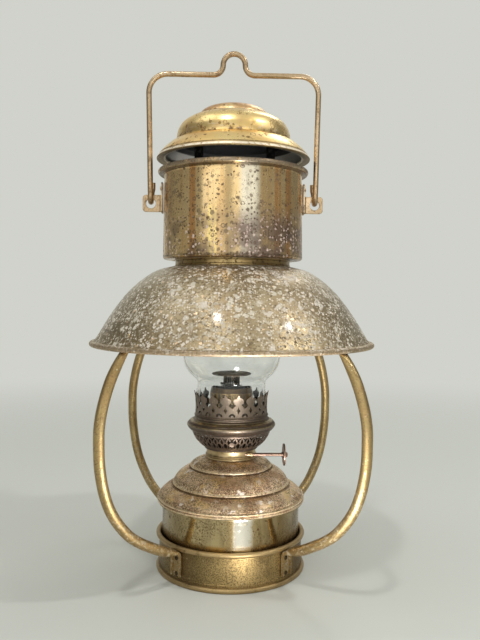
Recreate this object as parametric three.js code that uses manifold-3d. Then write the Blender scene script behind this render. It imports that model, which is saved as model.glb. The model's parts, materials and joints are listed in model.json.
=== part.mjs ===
import * as THREE from "three";
import { mergeVertices } from "three/addons/utils/BufferGeometryUtils.js";
import Module from "manifold-3d";

// A brass trawler lantern with an oil burner, in millimetres, standing on z = 0 with its axis on Z.
// The front is -Y, and the wick winder points to +X.

const wasm = await Module();
wasm.setup();

// Driving sizes of the frame, from the table up
const sheet = 1.0;
const gap = 0.3;
const beadRadius = 2.3;
const beadFlat = 0.2;
const baseRadius = 66.5;
const baseHeight = 34.9;
const beadStandout = 0.7;
const floorHeight = 4.0;
const rimHeight = 209.4;
const rimRadius = 131.1;
const shadeHeight = 70.6;
const shadeTopRadius = 55.7;
const shadeLedge = 4.4;
const neckInset = 2.0;
const neckHeight = 6.5;
const hoodOverhang = 11.0;
const hoodTaper = 1.1;
const hoodHeight = 80.2;
const hoodCorner = 2.2;
const hoodMouthInset = 3.2;
const ventHeight = 12.6;
const capStandout = 5.9;
const capOverhang = 1.1;
const capHeight = 49.5;
const capHem = 7.5;

// Guard tubes
const tubeRadius = 4.5;
const tubeBow = 52.7;
const tubeFlat = 1.5;
const tubeHeadRise = 0.8;
const tubeHeadInset = 3.1;
const tubeFootRise = 27.0;
const tabWidth = 11.0;
const tabHeight = 24.0;
const tabThickness = 1.8;
const tabBottom = 8.0;
const tabRivetPitch = 13.4;
const rivetRadius = 1.9;
const rivetRise = 1.1;
const shadeRivetRadius = 2.4;

// Bail and its ears
const rodRadius = 2.5;
const hookRadius = 4.9;
const earThickness = 1.8;
const earWidth = 17.4;
const earHeight = 15.8;
const earCorner = 3.0;
const earDrop = 36.2;
const earHoleRadius = 4.5;
const earHoleInset = 7.6;
const earHoleRise = 7.8;
const strapWidth = 12.0;
const strapHeight = 28.0;
const strapThickness = 1.4;
const strapDrop = 1.0;
const bailHeight = 111.4;
const bailLoopHeight = 19.3;
const bailLoopWidth = 20.4;
const bailSpread = 1.8;
const bailCorner = 17.0;
const bailTailLength = 13.5;
const bailTailLean = 2.4;
const earRivetPitch = 6.8;
const capStrapWidth = 8.0;
const capStrapOverlap = 20.0;
const capStrapAzimuth = 30;

// Font, the oil tank that stands in the base ring
const fontClearance = 1.6;
const fontHeight = 57.8;
const lipStandout = 4.8;
const lipBead = 2.0;
const domeHeight = 39.2;
const domeLedge = 4.3625;
const fontCollarStandout = 5.4;
const fontCollarHeight = 3.4;

// Burner
const burnerCollarWall = 1.9;
const burnerCollarHeight = 8.1;
const collarFlare = 0.9;
const basketInset = 5.0;
const basketHeight = 16.2;
const galleryStandout = 7.6;
const galleryHeight = 10.4;
const crownClearance = 0.6;
const crownWall = 0.6;
const crownHeight = 26.0;
const crownRise = 3.2;
const crownCount = 18;
const basketSlots = 12;
const wickTubeRadius = 15.7;
const wickTubeWall = 0.6;
const wickThickness = 2.2;
const tubeTopAboveCrown = 3.5;
const deflectorStandout = 4.3;
const deflectorMouthInset = 1.9;
const wickProud = 0.6;
const wickLength = 120.0;
const wickSeamHalf = 25;
const draftWebWidth = 8.0;
const deflectorHoles = 8;
const deflectorHoleRadius = 2.6;

// Flame spreader
const discOverhang = 2.7;
const discLift = 12.0;
const discThickness = 1.2;
const discDish = 1.6;
const stemInset = 2.7;
const stemFootInset = 1.0;
const stemDepth = 12.0;
const stemHeight = 9.2;

// Wick winder
const spindleRadius = 1.5;
const spindleReach = 48.3;
const spindleEnd = 1.3;
const spindleRise = 5.0;
const cogRadius = 2.6;
const cogWidth = 1.6;
const cogPitch = 10.0;
const cogTeeth = 9;
const wheelRadius = 10.0;
const wheelThickness = 1.2;
const hubRadius = 2.4;
const hubLength = 2.6;
const bushRadius = 3.0;
const bushLength = 3.2;

// Glass chimney
const glassWall = 1.6;
const glassFootRadius = 32.6;
const glassFootHeight = 32.4;
const glassBulgeRadius = 46.0;
const glassBulgeHeight = 62.0;
const glassTopRadius = 26.0;
const glassHeight = 190.0;

// Shares of the sizes that they follow
const rivetShare = 0.16;
const slotHeightShares = [0.3, 0.74];
const slotWidthShare = 0.26;
const crownBendShare = 0.66;
const gapShares = [[0, 0.56], [0.27, 0.72], [0.2, 0.82], [0.42, 1.04], [0.42, 1.3]];
const cogRootShare = 0.78;

// Facet counts
const ringSides = 24;
const burnerSides = 24;
const glassSides = 24;
const pinSides = 8;
const rodSides = 8;
const beadSteps = 5;

// How far a cut runs past the piece, and how close two places count as one
const overrun = 1.0;
const weldDistance = 1e-4;

// Radii worked out from the driving sizes, each from the piece that it meets
const neckRadius = shadeTopRadius - neckInset;
const hoodRadius = neckRadius + hoodOverhang;
const hoodTopRadius = hoodRadius - hoodTaper;
const hoodMouthRadius = neckRadius - hoodMouthInset;
const capRadius = hoodRadius + capStandout;
const drumRadius = baseRadius - sheet - fontClearance;
const lipRadius = drumRadius + lipStandout;
const wickOuter = wickTubeRadius - wickTubeWall - gap;
const wickInner = wickOuter - wickThickness;
const draftOuter = wickInner - gap;
const draftInner = draftOuter - wickTubeWall;
const fontCollarRadius = wickTubeRadius + fontCollarStandout;
const domeMouthRadius = fontCollarRadius + gap;
const burnerCollarRadius = domeMouthRadius + burnerCollarWall;
const crownRadius = glassFootRadius + crownClearance + crownWall;
const galleryRadius = crownRadius + galleryStandout;
const basketRadius = galleryRadius - basketInset;
const deflectorRadius = wickTubeRadius + deflectorStandout;
const deflectorMouthRadius = deflectorRadius - deflectorMouthInset;
const discRadius = wickTubeRadius + discOverhang;
const skirtRadius = draftInner - gap;
const stemFootRadius = skirtRadius - stemFootInset;
const stemRadius = stemFootRadius - stemInset;

// Heights worked out from the stack
const bead = beadRadius - beadFlat;
const shadeTop = rimHeight + shadeHeight;
const hoodBottom = shadeTop + neckHeight;
const hoodTop = hoodBottom + hoodHeight;
const capRim = hoodTop + ventHeight;
const capTop = capRim + capHeight;
const fontBottom = floorHeight + sheet + gap;
const fontTop = fontBottom + fontHeight;
const domeBottom = fontTop + gap;
const domeTop = domeBottom + domeHeight;
const collarBottom = domeTop + gap;
const collarTop = collarBottom + burnerCollarHeight;
const basketBottom = collarTop + gap;
const basketTop = basketBottom + basketHeight;
const galleryBottom = basketTop + gap;
const galleryTop = galleryBottom + galleryHeight;
const crownBottom = galleryTop + gap;
const crownTop = crownBottom + crownHeight;
const seatTop = crownBottom + crownRise;
const chimneyBottom = seatTop + gap;
const tubeTop = crownTop + tubeTopAboveCrown;
const spindleZ = collarBottom + spindleRise;
const spindleY = -(wickOuter + gap + cogRadius);
const earBottom = hoodTop - earDrop;
const earTop = earBottom + earHeight;
const earInner = hoodRadius + gap + strapThickness;
const earOuter = earInner + earWidth;
const earHoleX = earOuter - earHoleInset;
const earHoleZ = earBottom + earHoleRise;
const stripHeight = earTop - earHoleZ - earHoleRadius;
const hingeZ = earTop - stripHeight / 2;

const degree = Math.PI / 180;

// Metals and glass
function metal(color, roughness, metalness = 1) {
  return new THREE.MeshStandardMaterial({ color, roughness, metalness });
}

const polishedBrass = metal(0xb99a55, 0.28);
const agedBrass = metal(0x9a8656, 0.5);
const spottedBrass = metal(0x857a5c, 0.6);
const bronze = metal(0x9c7f5f, 0.45);
const mottledBrass = metal(0x7d6748, 0.65);
const burnerBronze = metal(0x5d5245, 0.5);
const collarBrass = metal(0xc2a45c, 0.3);
const sooty = metal(0x1d1c1b, 0.7, 0.6);
const copperBrown = metal(0x6b4a3c, 0.5);
const cotton = metal(0x8c8273, 0.95, 0);
const glass = metal(0xe8efec, 0.05, 0);
glass.transparent = true;
glass.opacity = 0.35;

const lantern = new THREE.Group();
const point = (radius, height) => new THREE.Vector2(radius, height);

// Six times the signed volume of an indexed geometry
function signedVolume(geometry) {
  const position = geometry.getAttribute("position");
  const index = geometry.getIndex();
  const corner = [new THREE.Vector3(), new THREE.Vector3(), new THREE.Vector3()];
  let total = 0;
  for (let i = 0; i < index.count; i += 3) {
    corner.forEach((vertex, k) => vertex.fromBufferAttribute(position, index.getX(i + k)));
    total += corner[0].dot(corner[1].cross(corner[2]));
  }
  return total;
}

// One closed surface with shared vertices and its faces pointing out
function closed(geometry) {
  geometry.deleteAttribute("normal");
  geometry.deleteAttribute("uv");
  const merged = mergeVertices(geometry, weldDistance);
  const source = merged.getIndex();
  const kept = [];
  for (let i = 0; i < source.count; i += 3) {
    const [a, b, c] = [source.getX(i), source.getX(i + 1), source.getX(i + 2)];
    if (a !== b && b !== c && c !== a) kept.push(a, b, c);
  }
  merged.setIndex(kept);
  if (signedVolume(merged) < 0) {
    for (let i = 0; i < kept.length; i += 3) [kept[i], kept[i + 1]] = [kept[i + 1], kept[i]];
    merged.setIndex(kept);
  }
  return merged;
}

function toSolid(geometry) {
  const whole = closed(geometry);
  const vertProperties = new Float32Array(whole.getAttribute("position").array);
  const triVerts = new Uint32Array(whole.getIndex().array);
  return new wasm.Manifold(new wasm.Mesh({ numProp: 3, vertProperties, triVerts }));
}

function fromSolid(solid) {
  const mesh = solid.getMesh();
  const geometry = new THREE.BufferGeometry();
  geometry.setAttribute("position", new THREE.BufferAttribute(new Float32Array(mesh.vertProperties), 3));
  geometry.setIndex(Array.from(mesh.triVerts));
  return geometry;
}

function add(name, geometry, material) {
  const shape = closed(geometry);
  shape.computeVertexNormals();
  const mesh = new THREE.Mesh(shape, material);
  mesh.name = name;
  lantern.add(mesh);
  return mesh;
}

// A body of revolution about Z from an outline of radius and height
function turned(outline, sides = ringSides) {
  const onAxis = outline[0].x === 0;
  const points = onAxis ? outline : [...outline, outline[0].clone()];
  const geometry = new THREE.LatheGeometry(points, sides);
  return geometry.rotateX(Math.PI / 2);
}

// Points on a circular arc, from one angle to another in degrees
function arc(radius, height, size, from, to, steps = beadSteps) {
  const places = Array.from({ length: steps + 1 }, (_, i) => (from + ((to - from) * i) / steps) * degree);
  return places.map((angle) => point(radius + size * Math.cos(angle), height + size * Math.sin(angle)));
}

// The same line moved sideways by a wall thickness, to the right of its direction
function moved(line, wall) {
  return line.map((place, i) => {
    const before = line[Math.max(i - 1, 0)];
    const after = line[Math.min(i + 1, line.length - 1)];
    const along = after.clone().sub(before).normalize();
    return point(place.x + along.y * wall, place.y - along.x * wall);
  });
}

// A box between two corners
function block(low, high) {
  const size = high.map((value, i) => value - low[i]);
  const geometry = new THREE.BoxGeometry(...size);
  return geometry.translate(...high.map((value, i) => (value + low[i]) / 2));
}

// A line through places, with one section of a swept tube at each of them
class PlaceLine extends THREE.Curve {
  constructor(places) {
    super();
    this.places = places;
  }

  getPoint(share) {
    const step = Math.min(Math.max(share, 0), 1) * (this.places.length - 1);
    const before = Math.floor(step);
    const after = Math.min(before + 1, this.places.length - 1);
    return this.places[before].clone().lerp(this.places[after], step - before);
  }

  getPointAt(share) {
    return this.getPoint(share);
  }

  getTangentAt(share) {
    const step = 1 / (this.places.length - 1);
    return this.getPoint(share + step).sub(this.getPoint(share - step)).normalize();
  }

  getSpacedPoints(count) {
    return this.getPoints(count);
  }
}

// A round rod along places, squashed in its bending plane and widened across it where a list says so
function rod(places, radius, squash = []) {
  const line = new PlaceLine(places);
  const section = new THREE.Shape(arc(0, 0, radius, 0, 360 - 360 / rodSides, rodSides - 1));
  const steps = places.length - 1;
  const geometry = new THREE.ExtrudeGeometry(section, { steps, bevelEnabled: false, extrudePath: line });
  if (!squash.length) return geometry;
  const position = geometry.getAttribute("position");
  const vertex = new THREE.Vector3();
  for (let i = 0; i < position.count; i += 1) {
    vertex.fromBufferAttribute(position, i);
    const nearest = places.reduce((best, place, k) =>
      (place.distanceToSquared(vertex) < places[best].distanceToSquared(vertex) ? k : best), 0);
    const [thin, wide] = squash[nearest];
    const offset = vertex.clone().sub(places[nearest]);
    vertex.set(offset.x * thin, offset.y * wide, offset.z * thin).add(places[nearest]);
    position.setXYZ(i, vertex.x, vertex.y, vertex.z);
  }
  return geometry;
}

// A cylinder along X from a start to an end
function shaft(start, end, radius, y, z, sides = pinSides) {
  const geometry = new THREE.CylinderGeometry(radius, radius, end - start, sides);
  return geometry.rotateZ(-Math.PI / 2).translate((start + end) / 2, y, z);
}

// A rivet head that stands on a face at z = 0
function rivetHead(radius, rise) {
  const crown = arc(0, 0, 1, 0, 90, 2).map((place) => point(place.x * radius, place.y * rise));
  crown[crown.length - 1].x = 0;
  return turned([point(0, 0), ...crown], pinSides);
}

// Turn a geometry's +Z towards an outward direction and put it at a place
function aimed(geometry, direction, place) {
  const up = new THREE.Vector3(0, 0, 1);
  const turn = new THREE.Quaternion().setFromUnitVectors(up, direction.clone().normalize());
  return geometry.applyQuaternion(turn).translate(place.x, place.y, place.z);
}

// A place at an azimuth measured from the front, positive to the right
function around(azimuth, radius, height) {
  const angle = azimuth * degree;
  return new THREE.Vector3(radius * Math.sin(angle), -radius * Math.cos(angle), height);
}

// Base ring: a drum wall with a rolled bead at each edge, the lower one flat where it stands
function baseRing() {
  const inner = baseRadius - sheet;
  const centre = baseRadius + beadStandout;
  const low = arc(centre, bead, beadRadius, -Math.asin(bead / beadRadius) / degree, 105);
  const high = arc(centre, baseHeight - beadRadius, beadRadius, -105, 150);
  const outline = [point(inner, 0), ...low, ...high, point(inner, baseHeight - beadRadius)];
  add("base_ring", turned(outline), agedBrass);
}

function baseFloor() {
  const edge = baseRadius - sheet - gap;
  const outline = [point(0, floorHeight), point(edge, floorHeight), point(edge, floorHeight + sheet)];
  outline.push(point(0, floorHeight + sheet));
  add("base_floor", turned(outline), agedBrass);
}

// Shade: a bowl from the ledge under the neck to the rolled rim
const shadeRadiusShares = [0, 0.2, 0.39, 0.555, 0.69, 0.81, 0.915, 0.968];
const shadeHeightShares = [1, 0.943, 0.816, 0.66, 0.485, 0.304, 0.12, 0.035];

function shadeLine() {
  const span = rimRadius - beadRadius - shadeTopRadius;
  return shadeRadiusShares.map((share, i) =>
    point(shadeTopRadius + span * share, rimHeight + shadeHeight * shadeHeightShares[i]));
}

function shade() {
  const outer = [point(shadeTopRadius - shadeLedge, shadeTop), ...shadeLine()];
  const inner = moved(outer, sheet);
  inner[0].set(shadeTopRadius - shadeLedge, shadeTop - sheet);
  const rim = arc(rimRadius - beadRadius, rimHeight, beadRadius, 100, -170, beadSteps + 2);
  add("shade", turned([...outer, ...rim, ...inner.reverse()]), spottedBrass);
}

function neck() {
  const inner = neckRadius - sheet;
  const [low, high] = [shadeTop + gap, hoodBottom - gap];
  const outline = [point(inner, low), point(neckRadius, low), point(neckRadius, high), point(inner, high)];
  add("shade_neck", turned(outline), agedBrass);
}

// Hood: a drum with a mouth in its bottom, a rounded lower corner and a bead round the top
function hood() {
  const corner = arc(hoodRadius - hoodCorner, hoodBottom + hoodCorner, hoodCorner, -90, 0, 3);
  const rim = arc(capRadius - capOverhang - beadRadius, hoodTop, beadRadius, -110, 150, beadSteps + 1);
  const wallTop = point(hoodTopRadius, hoodTop - 2 * beadRadius);
  const inner = [
    point(hoodTopRadius - sheet, hoodTop),
    point(hoodTopRadius - sheet, hoodTop - 2 * beadRadius),
    point(hoodRadius - sheet, hoodBottom + hoodCorner),
    point(hoodRadius - hoodCorner, hoodBottom + sheet),
    point(hoodMouthRadius, hoodBottom + sheet),
  ];
  const mouth = point(hoodMouthRadius, hoodBottom);
  add("hood", turned([mouth, ...corner, wallTop, ...rim, ...inner]), polishedBrass);
}

// Cap: three domed steps over the hood, with a hem turned in under the rim
const capShares = [
  [1, 0], [0.972, 0.067], [0.91, 0.165], [0.822, 0.273], [0.763, 0.315], [0.745, 0.337], [0.741, 0.43],
  [0.722, 0.527], [0.669, 0.648], [0.564, 0.745], [0.479, 0.786], [0.459, 0.798], [0.436, 0.855],
  [0.388, 0.911], [0.289, 0.964], [0.156, 0.992],
];

function capLine() {
  return capShares.map(([across, up]) => point(capRadius * across, capRim + capHeight * up));
}

function cap() {
  const outer = capLine();
  const inner = moved(outer, -sheet).slice(1);
  const hemInner = point(capRadius - capHem, capRim - sheet);
  const hemTop = point(capRadius - capHem, capRim);
  const lip = point(capRadius - sheet, capRim - sheet);
  const throat = point(inner[0].x, capRim + sheet);
  const outline = [point(0, capTop), ...outer.reverse(), lip, hemInner, hemTop, throat, ...inner];
  outline.push(point(0, capTop - sheet));
  add("cap", turned(outline), polishedBrass);
}

// Three straps stand in the hood and carry the cap from inside
function capStraps() {
  const outerRadius = (hoodTopRadius - sheet) * Math.cos(Math.PI / ringSides) - gap;
  const seat = moved(capLine(), -sheet - gap);
  const foot = hoodTop - capStrapOverlap;
  const line = [point(outerRadius, foot), point(outerRadius, capRim + gap), seat[3], seat[4]];
  const back = moved(line, -sheet);
  const shape = new THREE.Shape([...line, ...back.reverse()]);
  [-capStrapAzimuth, capStrapAzimuth, 180].forEach((azimuth, i) => {
    const geometry = new THREE.ExtrudeGeometry(shape, { depth: capStrapWidth, bevelEnabled: false });
    geometry.translate(0, 0, -capStrapWidth / 2).rotateX(Math.PI / 2).rotateZ((azimuth - 90) * degree);
    add(`cap_strap_${i + 1}`, geometry, sooty);
  });
}

// The guard tubes bow out from the base ring to the inside of the shade rim, with flattened ends
const tubeAlongShares = [
  0, 0.015, 0.037, 0.067, 0.113, 0.169, 0.229, 0.308, 0.382, 0.457, 0.532,
  0.597, 0.663, 0.723, 0.782, 0.842, 0.897, 0.936, 0.963, 0.982, 1,
];
const tubeBowShares = [
  0, 0.069, 0.154, 0.279, 0.447, 0.633, 0.785, 0.91, 0.98, 1, 0.983,
  0.945, 0.881, 0.812, 0.709, 0.568, 0.409, 0.266, 0.154, 0.068, 0,
];
const tubeFootShares = [0.34, 0.6, 0.84, 1];
const tubeHeadShares = [1, 0.86, 0.66, 0.47, 0.36, 0.33, 0.33];
const shadeTabShares = [0.02, 0.58];

// A place a share of the way between two others
const between = (start, end, share) => start.clone().lerp(end, share);

function tubeLine() {
  const foot = point(baseRadius + gap + tabThickness, tubeFootRise);
  const head = point(rimRadius - 2 * beadRadius - tubeHeadInset, rimHeight + tubeHeadRise);
  const along = head.clone().sub(foot);
  const aside = point(along.y, -along.x).normalize().multiplyScalar(tubeBow);
  const line = tubeAlongShares.map((share, i) => {
    const place = between(foot, head, share);
    return place.addScaledVector(aside, tubeBowShares[i]);
  });
  const wall = moved(shadeLine(), sheet + gap + tubeFlat);
  const [upper, lower] = [wall[wall.length - 3], wall[wall.length - 2]];
  return [...line, ...shadeTabShares.map((share) => between(lower, upper, share))];
}

function guardTube(azimuth) {
  const line = tubeLine();
  const places = line.map((place) => new THREE.Vector3(place.x, 0, place.y));
  const squash = line.map((_, i) => {
    const fromHead = line.length - 1 - i;
    const share = tubeFootShares[i] ?? tubeHeadShares[tubeHeadShares.length - 1 - fromHead] ?? 1;
    return [share, 1 + (1 - share) / 4];
  });
  const inner = baseRadius + gap;
  const half = tabWidth / 2;
  const tabTop = tabBottom + tabHeight - beadRadius;
  const tab = block([inner, -half, tabBottom], [inner + tabThickness, half, tabTop]);
  const whole = toSolid(rod(places, tubeRadius, squash)).add(toSolid(tab));
  return fromSolid(whole).rotateZ((azimuth - 90) * degree);
}

const corners = { front_left: -45, front_right: 45, rear_right: 135, rear_left: -135 };

function cage() {
  const tabFace = baseRadius + 2 * gap + tabThickness;
  const [outer, upper] = shadeLine().slice(-3, -1).reverse();
  const slope = upper.clone().sub(outer).normalize();
  const seat = between(outer, upper, rivetShare).add(point(slope.y, -slope.x).multiplyScalar(gap));
  Object.entries(corners).forEach(([corner, azimuth]) => {
    add(`guard_tube_${corner}`, guardTube(azimuth), agedBrass);
    const outward = around(azimuth, 1, 0);
    const rivetTop = tabBottom + tabHeight - beadRadius - 2 * rivetRadius - tubeRadius / 2;
    [rivetTop, rivetTop - tabRivetPitch].forEach((height, i) => {
      const head = aimed(rivetHead(rivetRadius, rivetRise), outward, around(azimuth, tabFace, height));
      add(`base_rivet_${corner}_${i ? "lower" : "upper"}`, head, mottledBrass);
    });
    const tilt = around(azimuth, slope.y, -slope.x);
    const head = aimed(rivetHead(shadeRivetRadius, rivetRise), tilt, around(azimuth, seat.x, seat.y));
    add(`shade_rivet_${corner}`, head, spottedBrass);
  });
}

// Ears: a strap against the hood wall and a plate with the eye that the bail hooks through
function ears() {
  const wall = hoodRadius + gap;
  const outline = new THREE.Shape();
  const [right, top] = [earOuter - earCorner, earTop - earCorner];
  outline.moveTo(wall + strapThickness / 2, earBottom);
  outline.absarc(right, earBottom + earCorner, earCorner, -Math.PI / 2, 0, false);
  outline.absarc(right, top, earCorner, 0, Math.PI / 2, false);
  outline.lineTo(wall + strapThickness / 2, earTop);
  const depth = earThickness;
  const plate = new THREE.ExtrudeGeometry(outline, { depth, bevelEnabled: false, curveSegments: 3 });
  plate.translate(0, 0, -earThickness / 2).rotateX(Math.PI / 2);
  const eyeDepth = earThickness + 2 * overrun;
  const eye = new THREE.CylinderGeometry(earHoleRadius, earHoleRadius, eyeDepth, 2 * pinSides);
  eye.translate(earHoleX, 0, earHoleZ);
  const half = strapWidth / 2;
  const foot = earBottom - strapDrop;
  const strap = block([wall, -half, foot], [wall + strapThickness, half, foot + strapHeight]);
  const ear = fromSolid(toSolid(plate).subtract(toSolid(eye)).add(toSolid(strap)));
  const rivetZ = (earTop + foot + strapHeight) / 2;
  [["left", 180], ["right", 0]].forEach(([side, turn]) => {
    add(`bail_ear_${side}`, ear.clone().rotateZ(turn * degree), agedBrass);
    [-earRivetPitch / 2, earRivetPitch / 2].forEach((y, i) => {
      const seat = new THREE.Vector3(wall + strapThickness + gap, y, rivetZ);
      const head = aimed(rivetHead(rivetRadius, rivetRise), new THREE.Vector3(1, 0, 0), seat);
      add(`ear_rivet_${side}_${i ? "rear" : "front"}`, head.rotateZ(turn * degree), mottledBrass);
    });
  });
}

// Bail: one rod, hooked from the front through each ear and back up behind it
function bailHalf() {
  const foot = earHoleX;
  const shoulder = foot + bailSpread;
  const barZ = hingeZ + bailHeight;
  const loopX = bailLoopWidth / 2;
  const loopZ = barZ + bailLoopHeight - loopX;
  const fillet = loopZ - barZ - gap;
  const flat = (x, z) => new THREE.Vector3(x, -hookRadius, z);
  const tail = [
    new THREE.Vector3(foot - bailTailLean, hookRadius, hingeZ + bailTailLength),
    new THREE.Vector3(foot - bailTailLean / 4, hookRadius, hingeZ + hookRadius),
  ];
  const bend = arc(0, hingeZ, hookRadius, 0, -180, 6);
  const hook = bend.map((place) => new THREE.Vector3(foot, place.x, place.y));
  const leg = [flat(foot + bailSpread / 8, hingeZ + hookRadius * 2)];
  const corner = arc(shoulder - bailCorner, barZ - bailCorner, bailCorner, 0, 90, 5);
  const rise = arc(loopX + fillet, barZ + fillet, fillet, 270, 180, 3);
  const loop = arc(0, loopZ, loopX, 0, 90, 4);
  const bar = [...corner, ...rise, ...loop].map((place) => flat(place.x, place.y));
  return [...tail, ...hook, ...leg, ...bar];
}

function bail() {
  const right = bailHalf();
  const left = right.slice(0, -1).reverse().map((place) => new THREE.Vector3(-place.x, place.y, place.z));
  add("bail", rod([...right, ...left], rodRadius), bronze);
}

// Font: a drum with a flange, under a stepped dome whose edge is rolled over the flange
const domeShares = [
  [0.967, 0.153], [0.937, 0.214], [0.897, 0.276], [0.849, 0.332], [0.795, 0.37], [0.789, 0.411],
  [0.774, 0.449], [0.739, 0.561], [0.699, 0.633], [0.646, 0.702], [0.591, 0.75], [0.553, 0.77],
  [0.553, 0.814], [0.533, 0.857], [0.498, 0.903], [0.437, 0.954],
];
const domeLedgeShare = 0.985;

function font() {
  const inner = drumRadius - sheet;
  const flange = lipRadius - lipBead / 2;
  const drum = [
    point(0, fontBottom), point(drumRadius, fontBottom), point(drumRadius, fontTop - 2 * sheet),
    point(flange, fontTop - sheet), point(flange, fontTop), point(inner, fontTop - sheet / 2),
    point(inner, fontBottom + sheet), point(0, fontBottom + sheet),
  ];
  add("font_drum", turned(drum), polishedBrass);
  const outer = domeShares.map(([across, up]) => point(lipRadius * across, domeBottom + domeHeight * up));
  outer.push(point(domeMouthRadius + domeLedge, domeBottom + domeHeight * domeLedgeShare));
  const under = moved(outer, -sheet).reverse();
  const lip = arc(lipRadius - lipBead, domeBottom + lipBead, lipBead, -90, 50, 4);
  const mouth = [point(domeMouthRadius, domeTop), point(domeMouthRadius, domeTop - sheet)];
  const dome = [point(inner, domeBottom), ...lip, ...outer, ...mouth, ...under.slice(0, -1)];
  dome.push(point(inner, domeBottom + sheet));
  add("font_dome", turned(dome), mottledBrass);
  const throat = fontCollarRadius - sheet;
  const ledge = domeTop - sheet - gap;
  const collar = [
    point(throat, ledge - sheet), point(domeMouthRadius + sheet, ledge - sheet),
    point(domeMouthRadius + sheet, ledge), point(fontCollarRadius, ledge),
    point(fontCollarRadius, ledge + fontCollarHeight),
    point(throat, ledge + fontCollarHeight),
  ];
  add("font_collar", turned(collar), agedBrass);
}

// Burner collar: it screws over the font collar and lets the winder spindle through
function burnerCollar() {
  const inner = fontCollarRadius + gap;
  const [low, high] = [collarBottom, collarTop];
  const flare = burnerCollarRadius + collarFlare;
  const outline = [
    point(inner, low), point(flare, low), point(flare, low + sheet),
    point(burnerCollarRadius, low + 2 * sheet), point(burnerCollarRadius, high), point(inner, high),
  ];
  const hole = shaft(0, burnerCollarRadius + overrun, spindleRadius + gap, spindleY, spindleZ);
  const collar = toSolid(turned(outline, burnerSides)).subtract(toSolid(hole));
  add("burner_collar", fromSolid(collar), collarBrass);
  const end = Math.sqrt(burnerCollarRadius ** 2 - spindleY ** 2) + bushLength;
  const outside = toSolid(shaft(0, end, bushRadius, spindleY, spindleZ));
  const bore = toSolid(shaft(-overrun, end + overrun, spindleRadius + gap, spindleY, spindleZ));
  const wallRadius = burnerCollarRadius + gap;
  const barrel = new THREE.CylinderGeometry(wallRadius, wallRadius, 2 * burnerCollarHeight, burnerSides);
  barrel.rotateX(Math.PI / 2).translate(0, 0, spindleZ);
  add("spindle_bush", fromSolid(outside.subtract(bore).subtract(toSolid(barrel))), collarBrass);
}

// Basket: a pierced bowl with a floor round the wick tube
const basketRadiusShares = [0.665, 0.68, 0.78, 0.89, 0.962, 1];
const basketHeightShares = [0, 0.06, 0.21, 0.47, 0.73, 1];

function basket() {
  const outer = basketRadiusShares.map((share, i) =>
    point(basketRadius * share, basketBottom + basketHeight * basketHeightShares[i]));
  const inner = moved(outer, -crownWall).slice(1).reverse();
  const hole = wickTubeRadius + gap;
  const floorTop = basketBottom + crownWall;
  const corner = point(outer[0].x - crownWall, floorTop);
  const outline = [point(hole, basketBottom), ...outer, ...inner, corner, point(hole, floorTop)];
  let bowl = toSolid(turned(outline, burnerSides));
  const [low, high] = slotHeightShares.map((share) => basketBottom + basketHeight * share);
  const width = (2 * Math.PI * basketRadius * slotWidthShare) / basketSlots;
  const corners = arc(0, 0, 1, 0, 270, 3);
  const diamond = corners.map((place) => point(place.x * width, place.y * (high - low) / 2));
  for (let i = 0; i < basketSlots; i += 1) {
    const depth = basketRadius;
    const cutter = new THREE.ExtrudeGeometry(new THREE.Shape(diamond), { depth, bevelEnabled: false });
    cutter.rotateX(Math.PI / 2).translate(0, -wickTubeRadius, (low + high) / 2);
    cutter.rotateZ(((i + 0.5) * 2 * Math.PI) / basketSlots);
    bowl = bowl.subtract(toSolid(cutter));
  }
  add("burner_basket", fromSolid(bowl), burnerBronze);
}

// Gallery ring: the hollow flange between the basket and the crown
const galleryRadiusShares = [0.884, 0.932, 0.986, 1, 0.985, 0.91, 0.8];
const galleryHeightShares = [0, 0.21, 0.42, 0.56, 0.73, 0.92, 1];

function galleryRing() {
  const outer = galleryRadiusShares.map((share, i) =>
    point(galleryRadius * share, galleryBottom + galleryHeight * galleryHeightShares[i]));
  const inner = moved(outer, -crownWall).reverse();
  add("gallery_ring", turned([...outer, ...inner], burnerSides), burnerBronze);
}

// Crown: a thin wall cut into pointed prongs that hold the chimney, with a ledge that it stands on
function crown() {
  const inner = crownRadius - crownWall;
  const seatInner = glassFootRadius - 2 * glassWall;
  const flare = point(crownRadius + 2 * crownWall, crownTop);
  const bend = crownBottom + crownHeight * crownBendShare;
  const outline = [
    point(inner, crownBottom), point(crownRadius, crownBottom), point(crownRadius, bend), flare,
    point(flare.x - crownWall, crownTop), point(inner, bend), point(inner, seatTop),
    point(seatInner, seatTop), point(seatInner, seatTop - crownWall), point(inner, seatTop - crownWall),
  ];
  const pitch = (2 * Math.PI * crownRadius) / crownCount;
  const at = (across, up) => point(pitch * across, crownBottom + crownHeight * up);
  const half = gapShares.map(([across, up]) => at(across, up));
  const mirrored = half.slice(1).reverse().map((place) => point(-place.x, place.y));
  const notch = new THREE.Shape([...half, ...mirrored]);
  let wall = toSolid(turned(outline, burnerSides));
  for (let i = 0; i < crownCount; i += 1) {
    const cutter = new THREE.ExtrudeGeometry(notch, { depth: crownRadius / 4, bevelEnabled: false });
    cutter.rotateX(Math.PI / 2).translate(0, -seatInner, 0).rotateZ((i * 2 * Math.PI) / crownCount);
    wall = wall.subtract(toSolid(cutter));
  }
  add("chimney_crown", fromSolid(wall), burnerBronze);
}

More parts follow.
